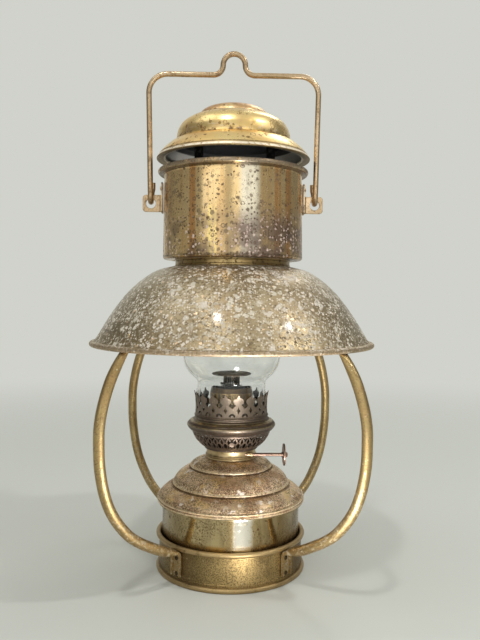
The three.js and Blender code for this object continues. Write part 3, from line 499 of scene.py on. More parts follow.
soot = innerSide((30, 29, 28), 0.75, metallic=0.2)
finishes = {
    "polished_brass": {
        "colours": [(238, 208, 156), (218, 184, 130)],
        "roughness": (0.2, 0.28), "brushed": 0.75, "grain": 0.05,
        "layers": [
            # random vertical streaks of tone, partly painted reflections of the room stretched by the brushed
            # metal
            clouds(38, 0.54, 0.62, (156, 132, 92), 0.3, 0.5, stretch=(1, 1, 0.02)),
            clouds(130, 0.52, 0.62, (206, 162, 106), 0.26, 0.45, stretch=(1, 1, 0.04)),
            # brown stripes at fixed places across the front: painted dark reflections
            clouds(200, 0.3, 0.5, (202, 138, 78), 0.28, 0.7, stretch=(1, 1, 0.03),
                   streaks=[(-36, 3.5), (37, 4.0), (47, 3.5)]),
            # a pale grey stripe right of the middle: painted reflection
            clouds(90, 0.25, 0.5, (214, 216, 206), 0.3, 0.6, stretch=(1, 1, 0.05), streaks=[(13, 11)]),
            # pale golden stripes left of the middle, high on the hood: painted highlight
            clouds(200, 0.25, 0.5, (255, 226, 146), 0.18, 0.8, stretch=(1, 1, 0.05),
                   streaks=[(-21, 2.4), (-16, 1.2)], height=(334, 324)),
            clouds(45, 0.45, 0.65, (132, 114, 98), 0.42, 0.75, height=(345, 300)),
            clouds(60, 0.3, 0.55, (128, 110, 102), 0.4, 0.8, height=(332, 310), side=(-22, 8)),
            clouds(420, 0.58, 0.7, (124, 98, 72), 0.5, 0.6, detail=6),
            rings(250, 0.85, 0.44, 0.16, (118, 98, 82), 0.55, 0.85, shake=0.6, within=(24, 0.38, 0.54)),
            spots(240, 0.7, 0.42, 0.1, (106, 88, 72), 0.5, 0.8, shake=0.7, within=(30, 0.34, 0.46),
                  metallic=0.85),
            spots(180, 0.5, 0.44, 0.1, (130, 112, 92), 0.45, 0.7, shake=0.6, within=(20, 0.4, 0.52),
                  metallic=0.85),
            spots(400, 0.6, 0.4, 0.1, (92, 68, 50), 0.6, 0.85, metallic=0.6, rise=-0.3),
            spots(330, 0.85, 0.5, 0.14, (238, 214, 200), 0.6, 0.9, shake=1.0, within=(26, 0.34, 0.48),
                  height=(338, 304), metallic=0.4, rise=0.4),
            spots(400, 0.7, 0.5, 0.12, (236, 208, 198), 0.6, 0.9, shake=1.2, within=(60, 0.4, 0.54),
                  height=(330, 304), side=(-25, 15), metallic=0.4, rise=0.4),
            clouds(160, 0.3, 0.5, (142, 126, 106), 0.46, 0.9, bands=[(367.4, 3.4)], metallic=0.8),
            # a dark line just under the top bead: painted shadow
            clouds(300, 0.2, 0.45, (70, 56, 40), 0.5, 0.75, bands=[(364.0, 1.1)]),
            clouds(600, 0.5, 0.64, (104, 88, 68), 0.6, 0.8, detail=6, bands=[(367.2, 3.6)], metallic=0.6),
            # a dark band at the rounded bottom corner: painted shade and dark reflection
            clouds(300, 0.3, 0.5, (74, 60, 42), 0.4, 0.5, bands=[(288.6, 1.2)]),
            soot,
        ],
    },
    "capBrass": {
        "colours": [(250, 222, 158), (242, 200, 126)], "roughness": (0.26, 0.36), "grain": 0.08,
        "layers": [
            clouds(70, 0.25, 0.5, (196, 150, 112), 0.42, 0.75, height=(416, 421)),
            clouds(55, 0.54, 0.72, (210, 164, 128), 0.4, 0.5),
            clouds(160, 0.57, 0.68, (166, 130, 84), 0.45, 0.7, detail=6),
            clouds(260, 0.5, 0.62, (146, 120, 98), 0.55, 0.85, detail=5,
                   bands=[(395.6, 2.8), (418.6, 2.4), (380.5, 2.2)]),
            clouds(420, 0.56, 0.64, (226, 210, 196), 0.5, 0.6, detail=6, bands=[(399.0, 3.2), (422.0, 4.0)],
                   metallic=0.7),
            spots(250, 0.35, 0.4, 0.08, (126, 92, 56), 0.55, 0.8, shake=0.6),
            rings(170, 0.35, 0.42, 0.1, (124, 90, 58), 0.6, 0.7, shake=0.8),
            clouds(120, 0.2, 0.45, (176, 150, 110), 0.38, 0.8, bands=[(380.4, 2.6)]),
            clouds(300, 0.3, 0.5, (92, 72, 46), 0.6, 0.8, bands=[(382.6, 0.7)]),
            innerSide((150, 147, 140), 0.7, metallic=0.0),
            # a pale line at the hem's inner cut edge: painted highlight where the edge catches the light
            clouds(300, 0.3, 0.5, (250, 238, 214), 0.4, 0.9, bands=[(380.3, 1.3)], metallic=0.3),
            clouds(300, 0.25, 0.45, (88, 72, 48), 0.5, 0.75, bands=[(378.4, 0.9)]),
            # near black on the inside of the dome above the skirt: soot and painted deep shade
            innerSide((20, 21, 21), 0.8, height=(390.8, 391.8), metallic=0.1),
        ],
    },
    "aged_brass": {
        "colours": [(178, 155, 108), (152, 129, 86)], "roughness": (0.38, 0.5),
        "layers": [
            clouds(380, 0.5, 0.6, (178, 166, 140), 0.75, 0.8, detail=7, rough=0.7, height=(120, 60),
                   metallic=0.1, rise=0.5),
            clouds(120, 0.5, 0.68, (160, 132, 88), 0.5, 0.7, metallic=0.8),
            clouds(620, 0.5, 0.62, (116, 90, 62), 0.6, 0.8, detail=8, rough=0.75, metallic=0.6, rise=0.4),
            spots(520, 0.3, 0.42, 0.15, (234, 220, 184), 0.4, 0.5),
        ],
    },
    "neckBrass": {
        "colours": [(178, 154, 108), (140, 118, 78)], "roughness": (0.26, 0.36), "brushed": 0.5,
        "layers": [
            clouds(300, 0.5, 0.66, (86, 70, 46), 0.6, 0.8, detail=5, metallic=0.6),
        ],
    },
    "drumBrass": {
        "colours": [(180, 162, 124), (150, 130, 92)],
        "roughness": (0.13, 0.2), "brushed": 0.7, "grain": 0.04,
        "layers": [
            # a paler wide stripe over the middle of the front: painted sheen
            clouds(60, 0.3, 0.5, (222, 202, 154), 0.17, 0.7, stretch=(1, 1, 0.15), streaks=[(-8, 44)]),
            clouds(50, 0.5, 0.66, (136, 112, 70), 0.4, 0.6, stretch=(1, 1, 0.15)),
            clouds(700, 0.48, 0.58, (104, 84, 54), 0.5, 0.8, detail=8, rough=0.75, within=(28, 0.4, 0.54)),
            # a near white narrow stripe right of the middle: painted highlight
            clouds(300, 0.25, 0.45, (255, 250, 236), 0.15, 0.95, streaks=[(9.5, 10)]),
            spots(260, 0.2, 0.36, 0.08, (96, 74, 46), 0.6, 0.8),
            soot,
        ],
    },
    "baseBrass": {
        "colours": [(152, 131, 87), (120, 99, 62)], "roughness": (0.4, 0.48), "brushed": 0.3,
        "layers": [
            clouds(60, 0.48, 0.68, (112, 90, 56), 0.45, 0.7, metallic=0.8),
            # a paler stripe right of the middle: painted highlight
            clouds(50, 0.25, 0.5, (208, 178, 120), 0.42, 0.6, streaks=[(14, 46)]),
            clouds(1000, 0.46, 0.57, (66, 51, 32), 0.6, 0.75, detail=8, rough=0.75, metallic=0.7, rise=0.4),
            spots(420, 0.3, 0.42, 0.15, (200, 180, 136), 0.42, 0.4),
            clouds(140, 0.25, 0.5, (182, 156, 112), 0.42, 0.75, detail=5, bands=[(33.4, 3.0), (2.0, 3.2)]),
        ],
    },
    "spotted_brass": {
        "colours": [(178, 161, 129), (148, 129, 98)],
        "roughness": (0.36, 0.46), "bump": 0.9, "coat": (0.34, 217, 225),
        "layers": [
            clouds(40, 0.5, 0.68, (134, 116, 84), 0.5, 0.7, metallic=0.8),
            clouds(420, 0.52, 0.62, (104, 86, 60), 0.6, 0.75, detail=6, metallic=0.6),
            clouds(260, 0.53, 0.58, (214, 206, 190), 0.75, 0.6, detail=6, rough=0.7, within=(30, 0.4, 0.56),
                   metallic=0.3, rise=0.4),
            spots(170, 0.8, 0.52, 0.16, (218, 210, 194), 0.7, 0.8, shake=1.2, within=(34, 0.42, 0.56),
                  metallic=0.3, rise=0.5),
            spots(115, 0.5, 0.5, 0.2, (226, 217, 204), 0.7, 0.7, shake=1.6, within=(26, 0.4, 0.52),
                  metallic=0.3, rise=0.4),
            spots(290, 0.85, 0.52, 0.14, (232, 222, 208), 0.75, 0.9, shake=1.0, within=(22, 0.36, 0.5),
                  metallic=0.25, rise=0.5),
            spots(520, 0.85, 0.54, 0.18, (234, 224, 208), 0.75, 0.85, shake=0.8, metallic=0.3, rise=0.3),
            spots(210, 0.25, 0.36, 0.12, (246, 214, 176), 0.35, 0.7, shake=0.8, metallic=0.9),
            spots(330, 0.4, 0.4, 0.12, (82, 66, 44), 0.7, 0.75, shake=0.8, metallic=0.4, rise=-0.3),
            clouds(200, 0.25, 0.5, (170, 148, 120), 0.55, 0.75, bands=[(208.4, 3.6)], metallic=0.7),
            clouds(700, 0.5, 0.62, (104, 86, 64), 0.6, 0.6, detail=6, bands=[(208.4, 3.6)], metallic=0.6),
        ],
    },
    "bronze_rod": {
        "colours": [(210, 184, 150), (176, 150, 116)], "roughness": (0.3, 0.42),
        "layers": [
            clouds(160, 0.5, 0.7, (136, 108, 78), 0.55, 0.7, metallic=0.7),
            clouds(700, 0.54, 0.68, (100, 78, 58), 0.6, 0.7, metallic=0.6),
        ],
    },
    "mottled_brass": {
        "colours": [(244, 218, 184), (218, 187, 150)], "roughness": (0.36, 0.48), "bump": 1.0,
        "layers": [
            clouds(50, 0.46, 0.6, (184, 140, 104), 0.5, 0.7),
            clouds(70, 0.52, 0.64, (246, 212, 144), 0.34, 0.7, twist=1.0),
            clouds(760, 0.47, 0.56, (106, 80, 57), 0.6, 0.82, detail=8, rough=0.75, within=(60, 0.34, 0.54),
                   metallic=0.7, rise=0.6),
            clouds(760, 0.44, 0.53, (96, 73, 53), 0.6, 0.7, detail=8, rough=0.75,
                   bands=[(82.5, 3.6), (98.0, 1.8), (69.0, 2.8)], metallic=0.7, rise=0.6),
            clouds(380, 0.58, 0.66, (116, 90, 66), 0.65, 0.6, detail=6, rough=0.7, metallic=0.6, rise=0.4),
            # pale golden grains, raised and shiny, partly painted glints
            clouds(620, 0.54, 0.6, (255, 232, 180), 0.28, 0.85, detail=8, rough=0.75, rise=0.5),
            spots(120, 0.9, 0.42, 0.08, (244, 232, 220), 0.6, 0.85, shake=2.0, within=(40, 0.44, 0.56),
                  metallic=0.1),
            spots(130, 0.6, 0.4, 0.2, (226, 208, 190), 0.6, 0.8, shake=1.6, metallic=0.5),
            clouds(420, 0.38, 0.5, (242, 224, 186), 0.38, 0.6, detail=5,
                   bands=[(79.8, 1.3), (95.2, 1.1), (67.0, 1.0), (63.9, 0.9)], metallic=0.7),
            # dark lines under the ridges: partly dirt, partly painted shade
            clouds(300, 0.3, 0.5, (84, 64, 46), 0.7, 0.7, detail=5,
                   bands=[(77.8, 0.6), (93.3, 0.4), (65.4, 0.6)], metallic=0.5),
        ],
    },
    "darkRivet": {
        "colours": [(96, 80, 56), (70, 58, 42)], "roughness": (0.4, 0.55),
        "layers": [
            clouds(600, 0.5, 0.66, (46, 38, 28), 0.7, 0.8, metallic=0.6),
        ],
    },
    "burner_bronze": {
        "colours": [(132, 118, 104), (104, 91, 79)], "roughness": (0.42, 0.52),
        "layers": [
            fade(133, 127, (112, 97, 86), 0.52, 0.7),
            clouds(300, 0.5, 0.7, (100, 86, 74), 0.55, 0.7, metallic=0.8),
            spots(700, 0.3, 0.5, 0.2, (190, 172, 146), 0.4, 0.4),
            # pale lines on the gallery's top and rounded outer edge: painted highlights
            clouds(200, 0.3, 0.6, (198, 180, 140), 0.3, 0.75, bands=[(137.9, 1.1), (134.4, 0.6)]),
            clouds(200, 0.3, 0.6, (70, 60, 52), 0.5, 0.7, bands=[(131.0, 2.2), (135.9, 0.5), (141.6, 0.4)]),
            innerSide((30, 27, 25), 0.7, metallic=0.3),
        ],
    },
    "collar_brass": {
        "colours": [(206, 184, 142), (178, 156, 116)], "roughness": (0.42, 0.5), "brushed": 0.3,
        "layers": [
            clouds(240, 0.52, 0.7, (158, 134, 94), 0.35, 0.6),
            clouds(300, 0.3, 0.6, (104, 84, 54), 0.5, 0.7, bands=[(106.2, 0.7), (104.6, 0.4)]),
        ],
    },
    "sleeveBrass": {
        "colours": [(214, 184, 136), (184, 150, 104)], "roughness": (0.24, 0.34), "brushed": 0.5,
        "layers": [
            clouds(160, 0.48, 0.64, (140, 108, 74), 0.4, 0.7, stretch=(1, 1, 0.3)),
            fade(163.2, 164.0, (108, 90, 70), 0.4, 0.9),
            innerSide((34, 32, 31), 0.7, metallic=0.3),
        ],
    },
    "sooty_metal": {
        "colours": [(78, 77, 75), (54, 53, 52)], "roughness": (0.4, 0.6),
        "layers": [
            clouds(500, 0.5, 0.7, (104, 100, 95), 0.7, 0.7, metallic=0.5, rise=0.4),
            # a row of pale dots on the stem: painted light seen through its holes
            spots(800, 1.0, 0.6, 0.2, (176, 172, 164), 0.6, 0.85, shake=0.1, bands=[(177.4, 2.2)],
                  metallic=0.4),
            clouds(400, 0.4, 0.6, (122, 118, 112), 0.6, 0.7, bands=[(180.6, 1.6)], metallic=0.5),
        ],
    },
    # near black straps inside the vent gap: soot and painted shade
    "strapSoot": {
        "colours": [(24, 24, 23), (14, 14, 14)], "roughness": (0.75, 0.85),
        "layers": [
            clouds(400, 0.5, 0.7, (30, 29, 28), 0.85, 0.9, metallic=0.1),
        ],
    },
    "copper_brown": {
        "colours": [(160, 132, 116), (128, 104, 90)], "roughness": (0.34, 0.46),
        "layers": [
            clouds(500, 0.5, 0.7, (88, 70, 60), 0.6, 0.7, metallic=0.8),
        ],
    },
}
paint = {name: metalFinish(name, look) for name, look in finishes.items()}


cotton = {
    "ribs": 260.0, "bend": 1.0, "light": tone(168, 156, 136), "dark": tone(136, 124, 106),
    "charred": tone(22, 20, 19), "charStart": 162, "charFull": 167.5, "roughness": 0.95, "relief": 0.3,
}


def wickCotton():
    # ribbed cotton, charred at its top
    material, place = blankMaterial("wick_cotton")
    height = place.node("ShaderNodeSeparateXYZ", None, {0: place}, 2)
    sockets = {"Vector": place, "Scale": cotton["ribs"], "Distortion": cotton["bend"]}
    ribs = place.node("ShaderNodeTexWave", {"bands_direction": "Z"}, sockets).also("Fac")
    woven = ribs.blend(cotton["light"], cotton["dark"])
    charred = height.ease(cotton["charStart"] * mm, cotton["charFull"] * mm)
    colour = charred.blend(woven, cotton["charred"])
    normal = place.bumped(0.5, cotton["relief"] * mm, ribs)
    sockets = {"Base Color": colour, "Roughness": cotton["roughness"], "Normal": normal}
    return surfaced(material, place.node("ShaderNodeBsdfPrincipled", None, sockets))


# the haze is a cloud, where it starts and where it is full
glass = {
    "haze": (60, 0.45, 0.8), "clear": tone(250, 251, 250), "hazed": tone(236, 238, 236),
    "through": tone(246, 247, 246), "smooth": 0.01, "dull": 0.04, "bending": 1.45,
}


def clearGlass():
    # clear glass with a faint haze, which lets the light through without a dark shadow
    material, place = blankMaterial("clear_glass")
    scale, low, high = glass["haze"]
    haze = place.cloud(scale).ease(low, high)
    colour = haze.blend(glass["clear"], glass["hazed"])
    roughness = glass["smooth"] + haze * glass["dull"]
    sockets = {"Base Color": colour, "Roughness": roughness, "IOR": glass["bending"]}
    sockets["Transmission Weight"] = 1.0
    body = place.node("ShaderNodeBsdfPrincipled", None, sockets)
    through = place.node("ShaderNodeBsdfTransparent", None, {"Color": glass["through"]})
    shadow = place.node("ShaderNodeLightPath", None, None, "Is Shadow Ray")
    return surfaced(material, place.node("ShaderNodeMixShader", None, {0: shadow, 1: body, 2: through}))


paint["wick_cotton"] = wickCotton()
paint["clear_glass"] = clearGlass()


def dress(piece, body, slotName, nodes, finish=None):
    # the piece's finish, the body it rides on and the nodes that it stands for
    piece.data.materials.clear()
    piece.data.materials.append(paint[finish or slotName])
    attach(piece, body)
    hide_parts(*nodes)


slots = {entry["node"]: entry["material_slot"] for entry in frame["record"]["subparts"]}
for name, node in frame["nodes"].items():
    for holder in node.material_slots:
        holder.material = paint["strapSoot" if name.startswith("cap_strap") else slots[name]]
print("lantern: finishes made")

# Base ring

base = {
    "radius": 66.5, "wall": 1.0, "height": 34.9, "bead": 2.3, "foot": 2.1, "standout": 0.7,
    "line": 0.55, "lineHeight": 6.4, "floor": 65.2, "floorLow": 4.0, "floorHigh": 5.0,
}
inner, beadX = base["radius"] - base["wall"], base["radius"] + base["standout"]
beadHeight = base["height"] - base["bead"]
drop = math.degrees(math.asin(base["foot"] / base["bead"]))
outline = [(inner, 0)] + bend((beadX, base["foot"]), base["bead"], -drop, 105, 12)
outline += bend((base["radius"], base["lineHeight"]), base["line"], -80, 80, 6)
outline += bend((beadX, beadHeight), base["bead"], -105, 160, 14) + [(inner, beadHeight)]
dress(lathe("baseRing", outline), "frame", "aged_brass", ["base_ring"], "baseBrass")

wide, low, high = base["floor"], base["floorLow"], base["floorHigh"]
outline = [(0, low), (wide, low), (wide, high), (0, high)]
dress(lathe("baseFloor", outline), "frame", "aged_brass", ["base_floor"])

# Shade

shadeForm = {
    "line": [(55.7, 280.0), (70.32, 275.98), (84.21, 267.01), (96.27, 256.0),
             (106.14, 243.64), (114.91, 230.86), (122.59, 217.87), (126.46, 211.87)],
    "ledge": 51.3, "top": 280.0, "wall": 1.0, "rim": (128.8, 209.4), "rimRadius": 2.3,
}
outer = [(shadeForm["ledge"], shadeForm["top"])] + smoothLine(shadeForm["line"], 8)
underside = beside(outer, shadeForm["wall"])
underside[0] = (shadeForm["ledge"], shadeForm["top"] - shadeForm["wall"])
rim = bend(shadeForm["rim"], shadeForm["rimRadius"], 112, -175, 18)
dress(lathe("shadeBowl", outer + rim + underside[::-1], wideSides), "frame", "spotted_brass", ["shade"])

neckForm = {
    "radius": 53.7, "wall": 1.0, "bottom": 280.3, "top": 286.2, "waist": 0.5, "lip": 1.0, "slope": 0.6,
}
low, high, wide = neckForm["bottom"], neckForm["top"], neckForm["radius"]
lip, waist, inner = neckForm["lip"], wide - neckForm["waist"], wide - neckForm["wall"]
outline = [(inner, low), (wide, low), (wide, low + lip), (waist, low + lip + neckForm["slope"])]
outline += [(waist, high - lip - neckForm["slope"]), (wide, high - lip), (wide, high), (inner, high)]
dress(lathe("shadeNeck", outline), "frame", "aged_brass", ["shade_neck"], "neckBrass")

# Hood and cap

hoodForm = {
    "mouth": 50.5, "bottom": 286.5, "corner": 2.2, "low": 64.7, "high": 63.6, "top": 366.7, "wall": 1.0,
    "bead": 2.3, "beadX": 67.2, "flare": 0.5, "flareDrops": (5.2, 3.2), "innerDrop": 4.6,
}
low, high, wall, corner = (hoodForm[key] for key in ("bottom", "top", "wall", "corner"))
narrow, inner = hoodForm["high"], hoodForm["low"] - wall
outline = [(hoodForm["mouth"], low)] + bend((hoodForm["low"] - corner, low + corner), corner, -90, 0, 6)
start, end = hoodForm["flareDrops"]
outline += [(narrow, high - start), (narrow + hoodForm["flare"], high - end)]
outline += bend((hoodForm["beadX"], high), hoodForm["bead"], -125, 160, 14)
liner = [(narrow - wall, high), (narrow - wall, high - hoodForm["innerDrop"]), (inner, low + corner)]
liner += [(hoodForm["low"] - corner, low + wall), (hoodForm["mouth"], low + wall)]
hood = lathe("hoodDrum", outline + liner, wideSides, inside=(len(outline), len(outline + liner)))
dress(hood, "frame", "polished_brass", ["hood"])

capForm = {
    "skirt": [(70.6, 379.3), (68.6, 382.6), (64.25, 387.5), (58.0, 392.7), (54.0, 394.8), (53.2, 395.0)],
    "dome": [(52.5, 395.3), (52.7, 396.6), (52.3, 400.7), (51.0, 405.4), (47.2, 411.4), (39.8, 416.2),
             (35.2, 417.9), (33.2, 418.1)],
    "crown": [(32.4, 418.3), (32.2, 419.4), (30.8, 421.6), (27.4, 424.4), (20.4, 427.0), (11.0, 428.4),
              (0.0, 428.8)],
    "rim": (70.1, 379.0), "rimRadius": 0.75, "wall": 1.0, "innerReach": 68.6,
    "hem": [(66.0, 378.7), (63.7, 379.3), (63.1, 379.7), (63.1, 380.8), (63.6, 381.0), (66.6, 380.6)],
}
top = smoothLine(capForm["skirt"], 4) + smoothLine(capForm["dome"], 5) + smoothLine(capForm["crown"], 5)
under = [place for place in beside(top, -capForm["wall"]) if place[0] < capForm["innerReach"]]
under[-1] = (0.0, under[-1][1])
outline = top[::-1][:-1] + bend(capForm["rim"], capForm["rimRadius"], 60, -150, 8) + capForm["hem"]
cap = lathe("capDomes", outline + under, wideSides, inside=(len(outline) - 1, len(outline + under)))
dress(cap, "frame", "polished_brass", ["cap"], "capBrass")
print("lantern: shade, hood and cap made")

# Guard tubes: each is a pipe that opens into a channel at its foot and is pressed flat at its head

tubeForm = {
    "radius": 4.5, "wall": 1.0, "foot": (68.6, 27.0), "head": (123.4, 210.2), "bow": 52.7,
    "alongShares": [0.037, 0.067, 0.113, 0.169, 0.229, 0.308, 0.382, 0.457, 0.532, 0.597,
                    0.663, 0.723, 0.782, 0.842, 0.897, 0.936, 0.963, 0.982, 1],
    "bowShares": [0.154, 0.279, 0.447, 0.633, 0.785, 0.91, 0.98, 1, 0.983, 0.945,
                  0.881, 0.812, 0.709, 0.568, 0.409, 0.266, 0.154, 0.068, 0],
    "tab": [(70.9, 8.4), (70.9, 14.0), (70.9, 20.0), (70.9, 24.2), (71.2, 26.4), (72.4, 28.2)],
    "tabWidth": 10.4, "tabBack": 3.6, "flange": 2.4, "pressedShares": [0.9, 0.7, 0.5, 0.38, 0.34, 0.33],
    "shadeClear": 2.8, "seatShares": (0.02, 0.58), "steps": 4, "sides": 32,
    # counted in places along the tube: where the channel and the open seam end, and over how many
    "channelEnd": 6.6, "channelRun": 2.2, "seamEnd": 6.0, "seamRun": 1.2, "seamAngle": 92,
}


def tubeLine():
    foot, head = tubeForm["foot"], tubeForm["head"]
    along = (head[0] - foot[0], head[1] - foot[1])
    size = math.hypot(*along)
    aside = (along[1] / size * tubeForm["bow"], -along[0] / size * tubeForm["bow"])
    shares = zip(tubeForm["alongShares"], tubeForm["bowShares"])
    line = [tuple(foot[i] + along[i] * s + aside[i] * b for i in (0, 1)) for s, b in shares]
    lower, upper = beside(shadeForm["line"], tubeForm["shadeClear"])[-2:-4:-1]
    return tubeForm["tab"] + line + [between(lower, upper, share) for share in tubeForm["seatShares"]]


def pressedShare(left):
    # how thick the pipe still is, so many places before its head
    pressed = tubeForm["pressedShares"]
    last = len(pressed) - 1
    if left > last:
        return 1 - max(last + 1 - left, 0) * (1 - pressed[0])
    at = last - left
    low = int(at)
    return pressed[low] + (pressed[min(low + 1, last)] - pressed[low]) * (at - low)


def tubeSection(passed, opening):
    # the middle of the wall, from one edge of the seam round the outside to the other
    count, radius = tubeForm["sides"], tubeForm["radius"] - tubeForm["wall"] / 2
    half, back = tubeForm["tabWidth"] / 2, tubeForm["tabBack"]
    channel = min(max((tubeForm["channelEnd"] - passed) / tubeForm["channelRun"], 0), 1)
    channel = channel * channel * (3 - 2 * channel)
    middle = []
    for k in range(count + 1):
        u = 2 * k / count - 1
        angle = math.radians(90 + u * (180 - opening))
        reach = abs(u) * (half + tubeForm["flange"])
        side = -1 if u > 0 else 1
        trough = Vector((side * min(reach, half), back - max(reach - half, 0)))
        ring = Vector((radius * math.cos(angle), radius * math.sin(angle)))
        middle.append(ring.lerp(trough, channel))
    return middle


def tubeMesh():
    keys = tubeLine()
    line = smoothLine(keys, tubeForm["steps"])
    count, wall = tubeForm["sides"], tubeForm["wall"]
    verts, rows = [], []
    for i, place in enumerate(line):
        passed = i / tubeForm["steps"]
        before, after = line[max(i - 1, 0)], line[min(i + 1, len(line) - 1)]
        ahead = Vector((after[0] - before[0], after[1] - before[1])).normalized()
        opening = min(max((tubeForm["seamEnd"] - passed) / tubeForm["seamRun"], 0), 1) * tubeForm["seamAngle"]
        pressed = pressedShare(len(keys) - 1 - passed)
        middle = tubeSection(passed, opening)
        outerRow, innerRow = [], []
        for k, spot in enumerate(middle):
            before, after = middle[max(k - 1, 0)], middle[min(k + 1, count)]
            if opening == 0 and k in (0, count):
                before, after = middle[count - 1], middle[1]
            step = (after - before).normalized()
            out = Vector((step.y, -step.x)) * wall / 2
            for row, sign in ((outerRow, 1), (innerRow, -1)):
                if opening == 0 and k == count:
                    row.append(row[0])
                    continue
                x, y = spot + out * sign
                x, y = x * (1 + (1 - pressed) / 4), y * pressed
                row.append(len(verts))
                verts.append((place[0] - ahead.y * y, x, place[1] + ahead.x * y))
        rows.append((outerRow, innerRow, opening == 0))
    faces = []
    for (outA, inA, shutA), (outB, inB, shutB) in zip(rows, rows[1:]):
        for k in range(count):
            faces.append([outA[k], outA[k + 1], outB[k + 1], outB[k]])
            faces.append([inA[k + 1], inA[k], inB[k], inB[k + 1]])
        if not (shutA and shutB):
            faces += [list(dict.fromkeys([outA[k], inA[k], inB[k], outB[k]])) for k in (0, count)]
    for outEnd, inEnd, _ in (rows[0], rows[-1]):
        faces += [[outEnd[k], outEnd[k + 1], inEnd[k + 1], inEnd[k]] for k in range(count)]
    return verts, faces


corners = {"front_left": -45, "front_right": 45, "rear_right": 135, "rear_left": -135}
tubeVerts, tubeFaces = tubeMesh()
for corner, azimuth in corners.items():
    tube = turned(newPiece("guardTube_" + corner, tubeVerts, tubeFaces, 50), azimuth - 90)
    dress(tube, "frame", "aged_brass", ["guard_tube_" + corner])
print("lantern: guard tubes made")

# Rivets

rivetForm = {
    "tabRadius": 1.9, "shadeRadius": 2.4, "earRadius": 1.9, "rise": 1.1, "edge": 0.15, "sink": 0.2,
    "tabFace": 67.75, "tabHeights": (23.6, 10.2), "shadeShare": 0.16,
    "earFace": 66.5, "earHeight": 351.9, "earAside": 3.4,
}
heads = headsTree()


def rivets(name, places, radius, slotName, nodes, finish=None):
    # places holds (azimuth, radius, height, tilt of the seat above the horizon, sideways)
    seats, aims = [], []
    for azimuth, reach, height, tilt, aside in places:
        a, t = math.radians(azimuth), math.radians(tilt)
        out = Vector((math.sin(a), -math.cos(a), 0))
        across = Vector((math.cos(a), math.sin(a), 0))
        seats.append((out * reach + across * aside + Vector((0, 0, height))) * mm)
        aims.append(out * math.cos(t) + Vector((0, 0, math.sin(t))))
    mesh = bpy.data.meshes.new(name)
    mesh.from_pydata(seats, [], [])
    for slot, aim in zip(mesh.attributes.new("aim", "FLOAT_VECTOR", "POINT").data, aims):
        slot.vector = aim
    rise, edge, sink = rivetForm["rise"], rivetForm["edge"], rivetForm["sink"]
    dome = [(radius * x, edge + (rise - edge) * y) for x, y in bend((0, 0), 1, 12, 84, 6)]
    outline = [(0, -sink), (radius, -sink), (radius, edge)] + dome + [(0, rise)]
    head = lathe(name + "Head", outline, headSides)
    made = heads.run(placed(name, mesh), {"Head": head, "Material": paint[finish or slotName]})
    bpy.data.objects.remove(head)
    dress(made, "frame", slotName, nodes, finish)


tabSeats = [(a, rivetForm["tabFace"], z, 0, 0) for a in corners.values() for z in rivetForm["tabHeights"]]
tabNodes = [f"base_rivet_{corner}_{end}" for corner in corners for end in ("upper", "lower")]
rivets("tabRivets", tabSeats, rivetForm["tabRadius"], "mottled_brass", tabNodes, "darkRivet")
upper, lower = shadeForm["line"][-3:-1]
seat = between(lower, upper, rivetForm["shadeShare"])
slope = Vector(upper) - Vector(lower)
tilt = math.degrees(math.atan2(-slope.x, slope.y))
shadeSeats = [(a, *seat, tilt, 0) for a in corners.values()]
shadeNodes = ["shade_rivet_" + corner for corner in corners]
rivets("shadeRivets", shadeSeats, rivetForm["shadeRadius"], "spotted_brass", shadeNodes)
face, height, aside = (rivetForm[key] for key in ("earFace", "earHeight", "earAside"))
earSeats = [(a, face, height, 0, s) for a in (-90, 90) for s in (-aside, aside)]
earNodes = [f"ear_rivet_{side}_{end}" for side in ("left", "right") for end in ("front", "rear")]
rivets("earRivets", earSeats, rivetForm["earRadius"], "mottled_brass", earNodes)

# Ears of the bail

earForm = {
    "inner": 65.0, "outer": 83.8, "low": 330.5, "high": 346.3, "corner": 3.0,
    "thickness": 1.8, "rounding": 0.3, "eye": (76.2, 338.3), "eyeRadius": 4.5,
    "strap": 1.4, "strapWidth": 12.0, "strapLow": 329.5, "strapHigh": 357.5, "strapCorner": 2.0,
    "strapRounding": 0.2, "fold": 1.7, "foldShort": 0.4, "foldAside": 1.0,
}


def ear(side):
    low, high, outer, corner = (earForm[key] for key in ("low", "high", "outer", "corner"))
    start = earForm["inner"] + earForm["strap"] / 2
    edge = [(start, low)] + bend((outer - corner, low + corner), corner, -90, 0, 6)
    edge += bend((outer - corner, high - corner), corner, 0, 90, 6) + [(start, high)]
    eye = bend(earForm["eye"], earForm["eyeRadius"], 0, 345, 23)
    leaf = turned(plate("earLeaf", [edge, eye], earForm["thickness"], earForm["rounding"]), 90, "X")
    low, high = low + earForm["foldShort"], high - earForm["foldShort"]
    radius = earForm["fold"]
    fold = lathe("earFold", [(0, low), (radius, low), (radius, high), (0, high)], headSides)
    moved(fold, start + earForm["foldAside"])
    low, high, corner = (earForm[key] for key in ("strapLow", "strapHigh", "strapCorner"))
    half = earForm["strapWidth"] / 2
    edge = bend((half - corner, low + corner), corner, -90, 0, 4)
    edge += bend((half - corner, high - corner), corner, 0, 90, 4)
    edge += [(-x, z) for x, z in reversed(edge)]
    strap = turned(plate("earStrap", [edge], earForm["strap"], earForm["strapRounding"]), 90, "X")
    moved(turned(strap, 90), start)
    return turned(joined("bailEar_" + side, [leaf, strap, fold]), 180 if side == "left" else 0)


for side in ("left", "right"):
    dress(ear(side), "frame", "aged_brass", ["bail_ear_" + side], "bronze_rod")

# Bail

bailForm = {
    "hinge": 344.55, "foot": 76.2, "spread": 1.8, "height": 111.4, "corner": 17.0, "radius": 2.5, "sides": 20,
    "loop": 10.2, "loopTop": 19.3, "filletShort": 0.3,
    # (inwards, rise) of the hook's free end, and of the rod where it leaves the hook
    "hook": 4.9, "tail": [(1.2, 13.5), (1.2, 8.0), (0.5, 4.9)], "leg": [(-0.22, 9.8), (-0.9, 50)],
}


